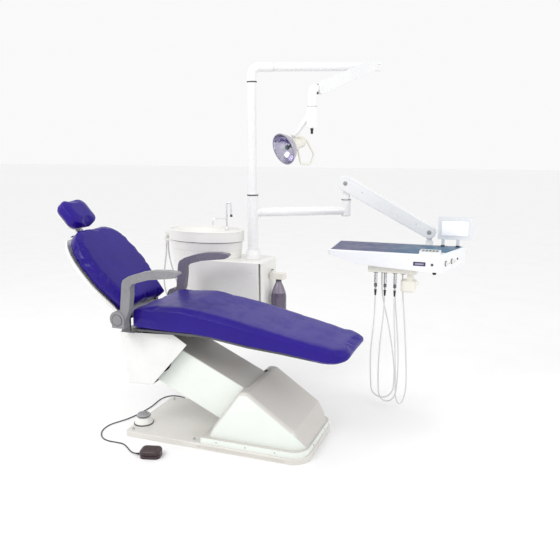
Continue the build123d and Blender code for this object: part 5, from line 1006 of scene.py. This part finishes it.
seam_spots = [((0.395 + t * 0.520 + 0.030 * math.sin(drop), 0.900 - 0.0302, 1.312 - t * 0.280 + 0.030 * math.cos(drop) - 0.030), (0, -1, 0)) for t in (0.18, 0.82)]
lay_out("balanced_arm_cover_screws", seam_spots, SCREW_TREE, 0.0035, 0.0022, "tray_spring_arm")

low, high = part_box("tray_body")
# control console: film, printed keys and rim
bm = bmesh.new()
block(bm, (0.966, 0.541, 0.9745), (0.094, 0.070, 0.0016), None, 0.0006, 2)
from_bmesh("console_key_film", bm, "tray", KEYPAD)
keys = [((0.966 + 0.0185 * i, 0.541 + 0.0185 * j, 0.9754), (0, 0, 1)) for i in (-2, -1, 0, 1, 2) for j in (-1, 0, 1)]
lay_out("console_keys", keys, KEY_TREE, 0.0056, 0.0012, "tray")
bm = bmesh.new()
for cx, cy, sx, sy in ((0.966, 0.4975, 0.104, 0.0035), (0.966, 0.5845, 0.104, 0.0035), (0.9125, 0.541, 0.0035, 0.080), (1.0195, 0.541, 0.0035, 0.080)):
    block(bm, (cx, cy, 0.9745), (sx, sy, 0.0026), None, 0.0009, 2)
from_bmesh("console_rim_trim", bm, "tray", TRAY)
# plain plate and small socket on the front edge
bm = bmesh.new()
block(bm, (0.9165, 0.4893, 0.9075), (0.066, 0.0030, 0.0220), None, 0.0011, 3)
from_bmesh("front_plate_frame", bm, "tray", PLATE_DARK)
bm = bmesh.new()
block(bm, (0.9165, 0.4876, 0.9075), (0.046, 0.0010, 0.0075), None, 0.0004, 2)
from_bmesh("front_plate_field", bm, "tray", PLATE_PALE)
bm = bmesh.new()
turned(bm, (0.9850, 0.4899, 0.9060), (0, -1, 0), [(0.0, 0.0012), (0.0046, 0.0012), (0.0058, 0.0022), (0.0068, 0.0022), (0.0072, 0.0), (0.0, 0.0)], 28)
from_bmesh("front_air_socket", bm, "tray", DARK_RING)
bm = bmesh.new()
turned(bm, (0.9960, 0.5180, 0.8670), (0, 0, -1), [(0.0, 0.0190), (0.0085, 0.0190), (0.0105, 0.0150), (0.0112, 0.0), (0.0, 0.0)], 32)
from_bmesh("tray_rubber_foot", bm, "tray", BLACK)
end_way = Vector((0.9642, -0.2650, 0)).normalized()
for k, s in enumerate((0.062, 0.150)):
    at = Vector((1.035 + 0.2650 * s, 0.490 + 0.9642 * s, 0.908))
    bm = bmesh.new()
    turned(bm, at, end_way, [(0.0122, 0.0005), (0.0150, 0.0005), (0.0154, 0.0018), (0.0146, 0.0030), (0.0122, 0.0030)], 44)
    from_bmesh(f"knob_dial_ring_{k + 1}", bm, "tray", DARK_RING)
    bm = bmesh.new()
    block(bm, at + end_way * 0.0184 + Vector((0, 0, 0.004)), (0.0022, 0.0014, 0.0075), axes_for(end_way, (0, 0, 1)) @ Matrix.Rotation(math.radians(90), 3, "Y"), 0.0004, 1)
    from_bmesh(f"knob_pointer_{k + 1}", bm, f"tray_knob_{k + 1}", BLACK)
at = Vector((1.035 + 0.2650 * 0.235, 0.490 + 0.9642 * 0.235, 0.9105))
bm = bmesh.new()
turned(bm, at, end_way, [(0.0, 0.0050), (0.0040, 0.0048), (0.0058, 0.0030), (0.0062, -0.0006), (0.0, -0.0006)], 28)
from_bmesh("tray_end_button", bm, "tray", BLACK)

# film viewer: opal panel and its retaining frame
low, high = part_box("film_viewer")
front, mid_x = low.y, (low.x + high.x) / 2
at, way = on_cover("film_viewer", (mid_x, 0.5, 1.066), (0, 1, 0))
bm = bmesh.new()
block(bm, (mid_x, at.y - 0.0004, 1.068), (0.150, 0.0016, 0.084), None, 0.0006, 2)
from_bmesh("viewer_opal_panel", bm, "tray", ACRYLIC)
bm = bmesh.new()
for dx, dz, sx, sz in ((0, 0.046, 0.162, 0.006), (0, -0.046, 0.162, 0.006), (-0.079, 0, 0.006, 0.090), (0.079, 0, 0.006, 0.090)):
    block(bm, (mid_x + dx, at.y - 0.0012, 1.068 + dz), (sx, 0.0030, sz), None, 0.0010, 2)
from_bmesh("viewer_panel_frame", bm, "tray", VIEWER)
for k, x in enumerate((1.000, 1.085)):
    bm = bmesh.new()
    block(bm, (x, 0.849, 0.9625), (0.022, 0.030, 0.0060), None, 0.0018, 3)
    from_bmesh(f"viewer_foot_pad_{k + 1}", bm, "tray", BLACK)

# handpieces: dark mouths of the holder and grip rings
bm = bmesh.new()
for x in (0.667, 0.721, 0.777, 0.822):
    turned(bm, (x, 0.553, 0.8378), (0, 0, -1), [(0.0122, 0.0), (0.0168, 0.0), (0.0174, 0.0022), (0.0160, 0.0042), (0.0122, 0.0042)], 40)
from_bmesh("holder_mouth_rings", bm, "tray", DARK_RING)
bm = bmesh.new()
for x in (0.667, 0.721, 0.777):
    for z in (0.752, 0.757, 0.762, 0.767):
        turned(bm, (x, 0.553, z), (0, 0, 1), [(0.0070, -0.0012), (0.0094, -0.0008), (0.0097, 0.0), (0.0094, 0.0008), (0.0070, 0.0012)], 32)
from_bmesh("handpiece_grip_rings", bm, "tray", BLACK)

# ------------------------------------------------------------------ floor and light
def finish_floor():
    m, tree, shader, place = start_material("pale_floor")
    skin = use(tree, SKIN, place, Grain=60.0)
    tree.links.new(blend_colour(tree, skin["Tone"], (0.96, 0.96, 0.96), (0.94, 0.94, 0.94)), shader.inputs["Base Color"])
    shader.inputs["Roughness"].default_value = 0.75
    return m


bm = bmesh.new()
bmesh.ops.create_grid(bm, x_segments=1, y_segments=1, size=40.0)
floor_mesh = bpy.data.meshes.new("floor")
bm.to_mesh(floor_mesh)
bm.free()
floor = bpy.data.objects.new("floor", floor_mesh)
floor.location = (0, 2.0, -0.0005)
floor_mesh.materials.append(finish_floor())
scene.collection.objects.link(floor)

world = bpy.data.worlds.new("studio")
scene.world = world
world.use_nodes = True
world.node_tree.nodes["Background"].inputs["Color"].default_value = (1.0, 1.0, 1.0, 1.0)
world.node_tree.nodes["Background"].inputs["Strength"].default_value = 0.95


def soft_light(name, at, aim, size, power):
    data = bpy.data.lights.new(name, "AREA")
    data.shape = "SQUARE"
    data.size = size
    data.energy = power
    lamp = bpy.data.objects.new(name, data)
    lamp.location = at
    lamp.rotation_euler = (Vector(aim) - Vector(at)).to_track_quat("-Z", "Y").to_euler()
    scene.collection.objects.link(lamp)


soft_light("key_light", (-1.6, -2.6, 3.4), (0.0, 0.0, 0.6), 1.6, 55.0)
soft_light("side_light", (3.2, -0.8, 2.4), (0.2, 0.2, 0.7), 2.0, 22.0)
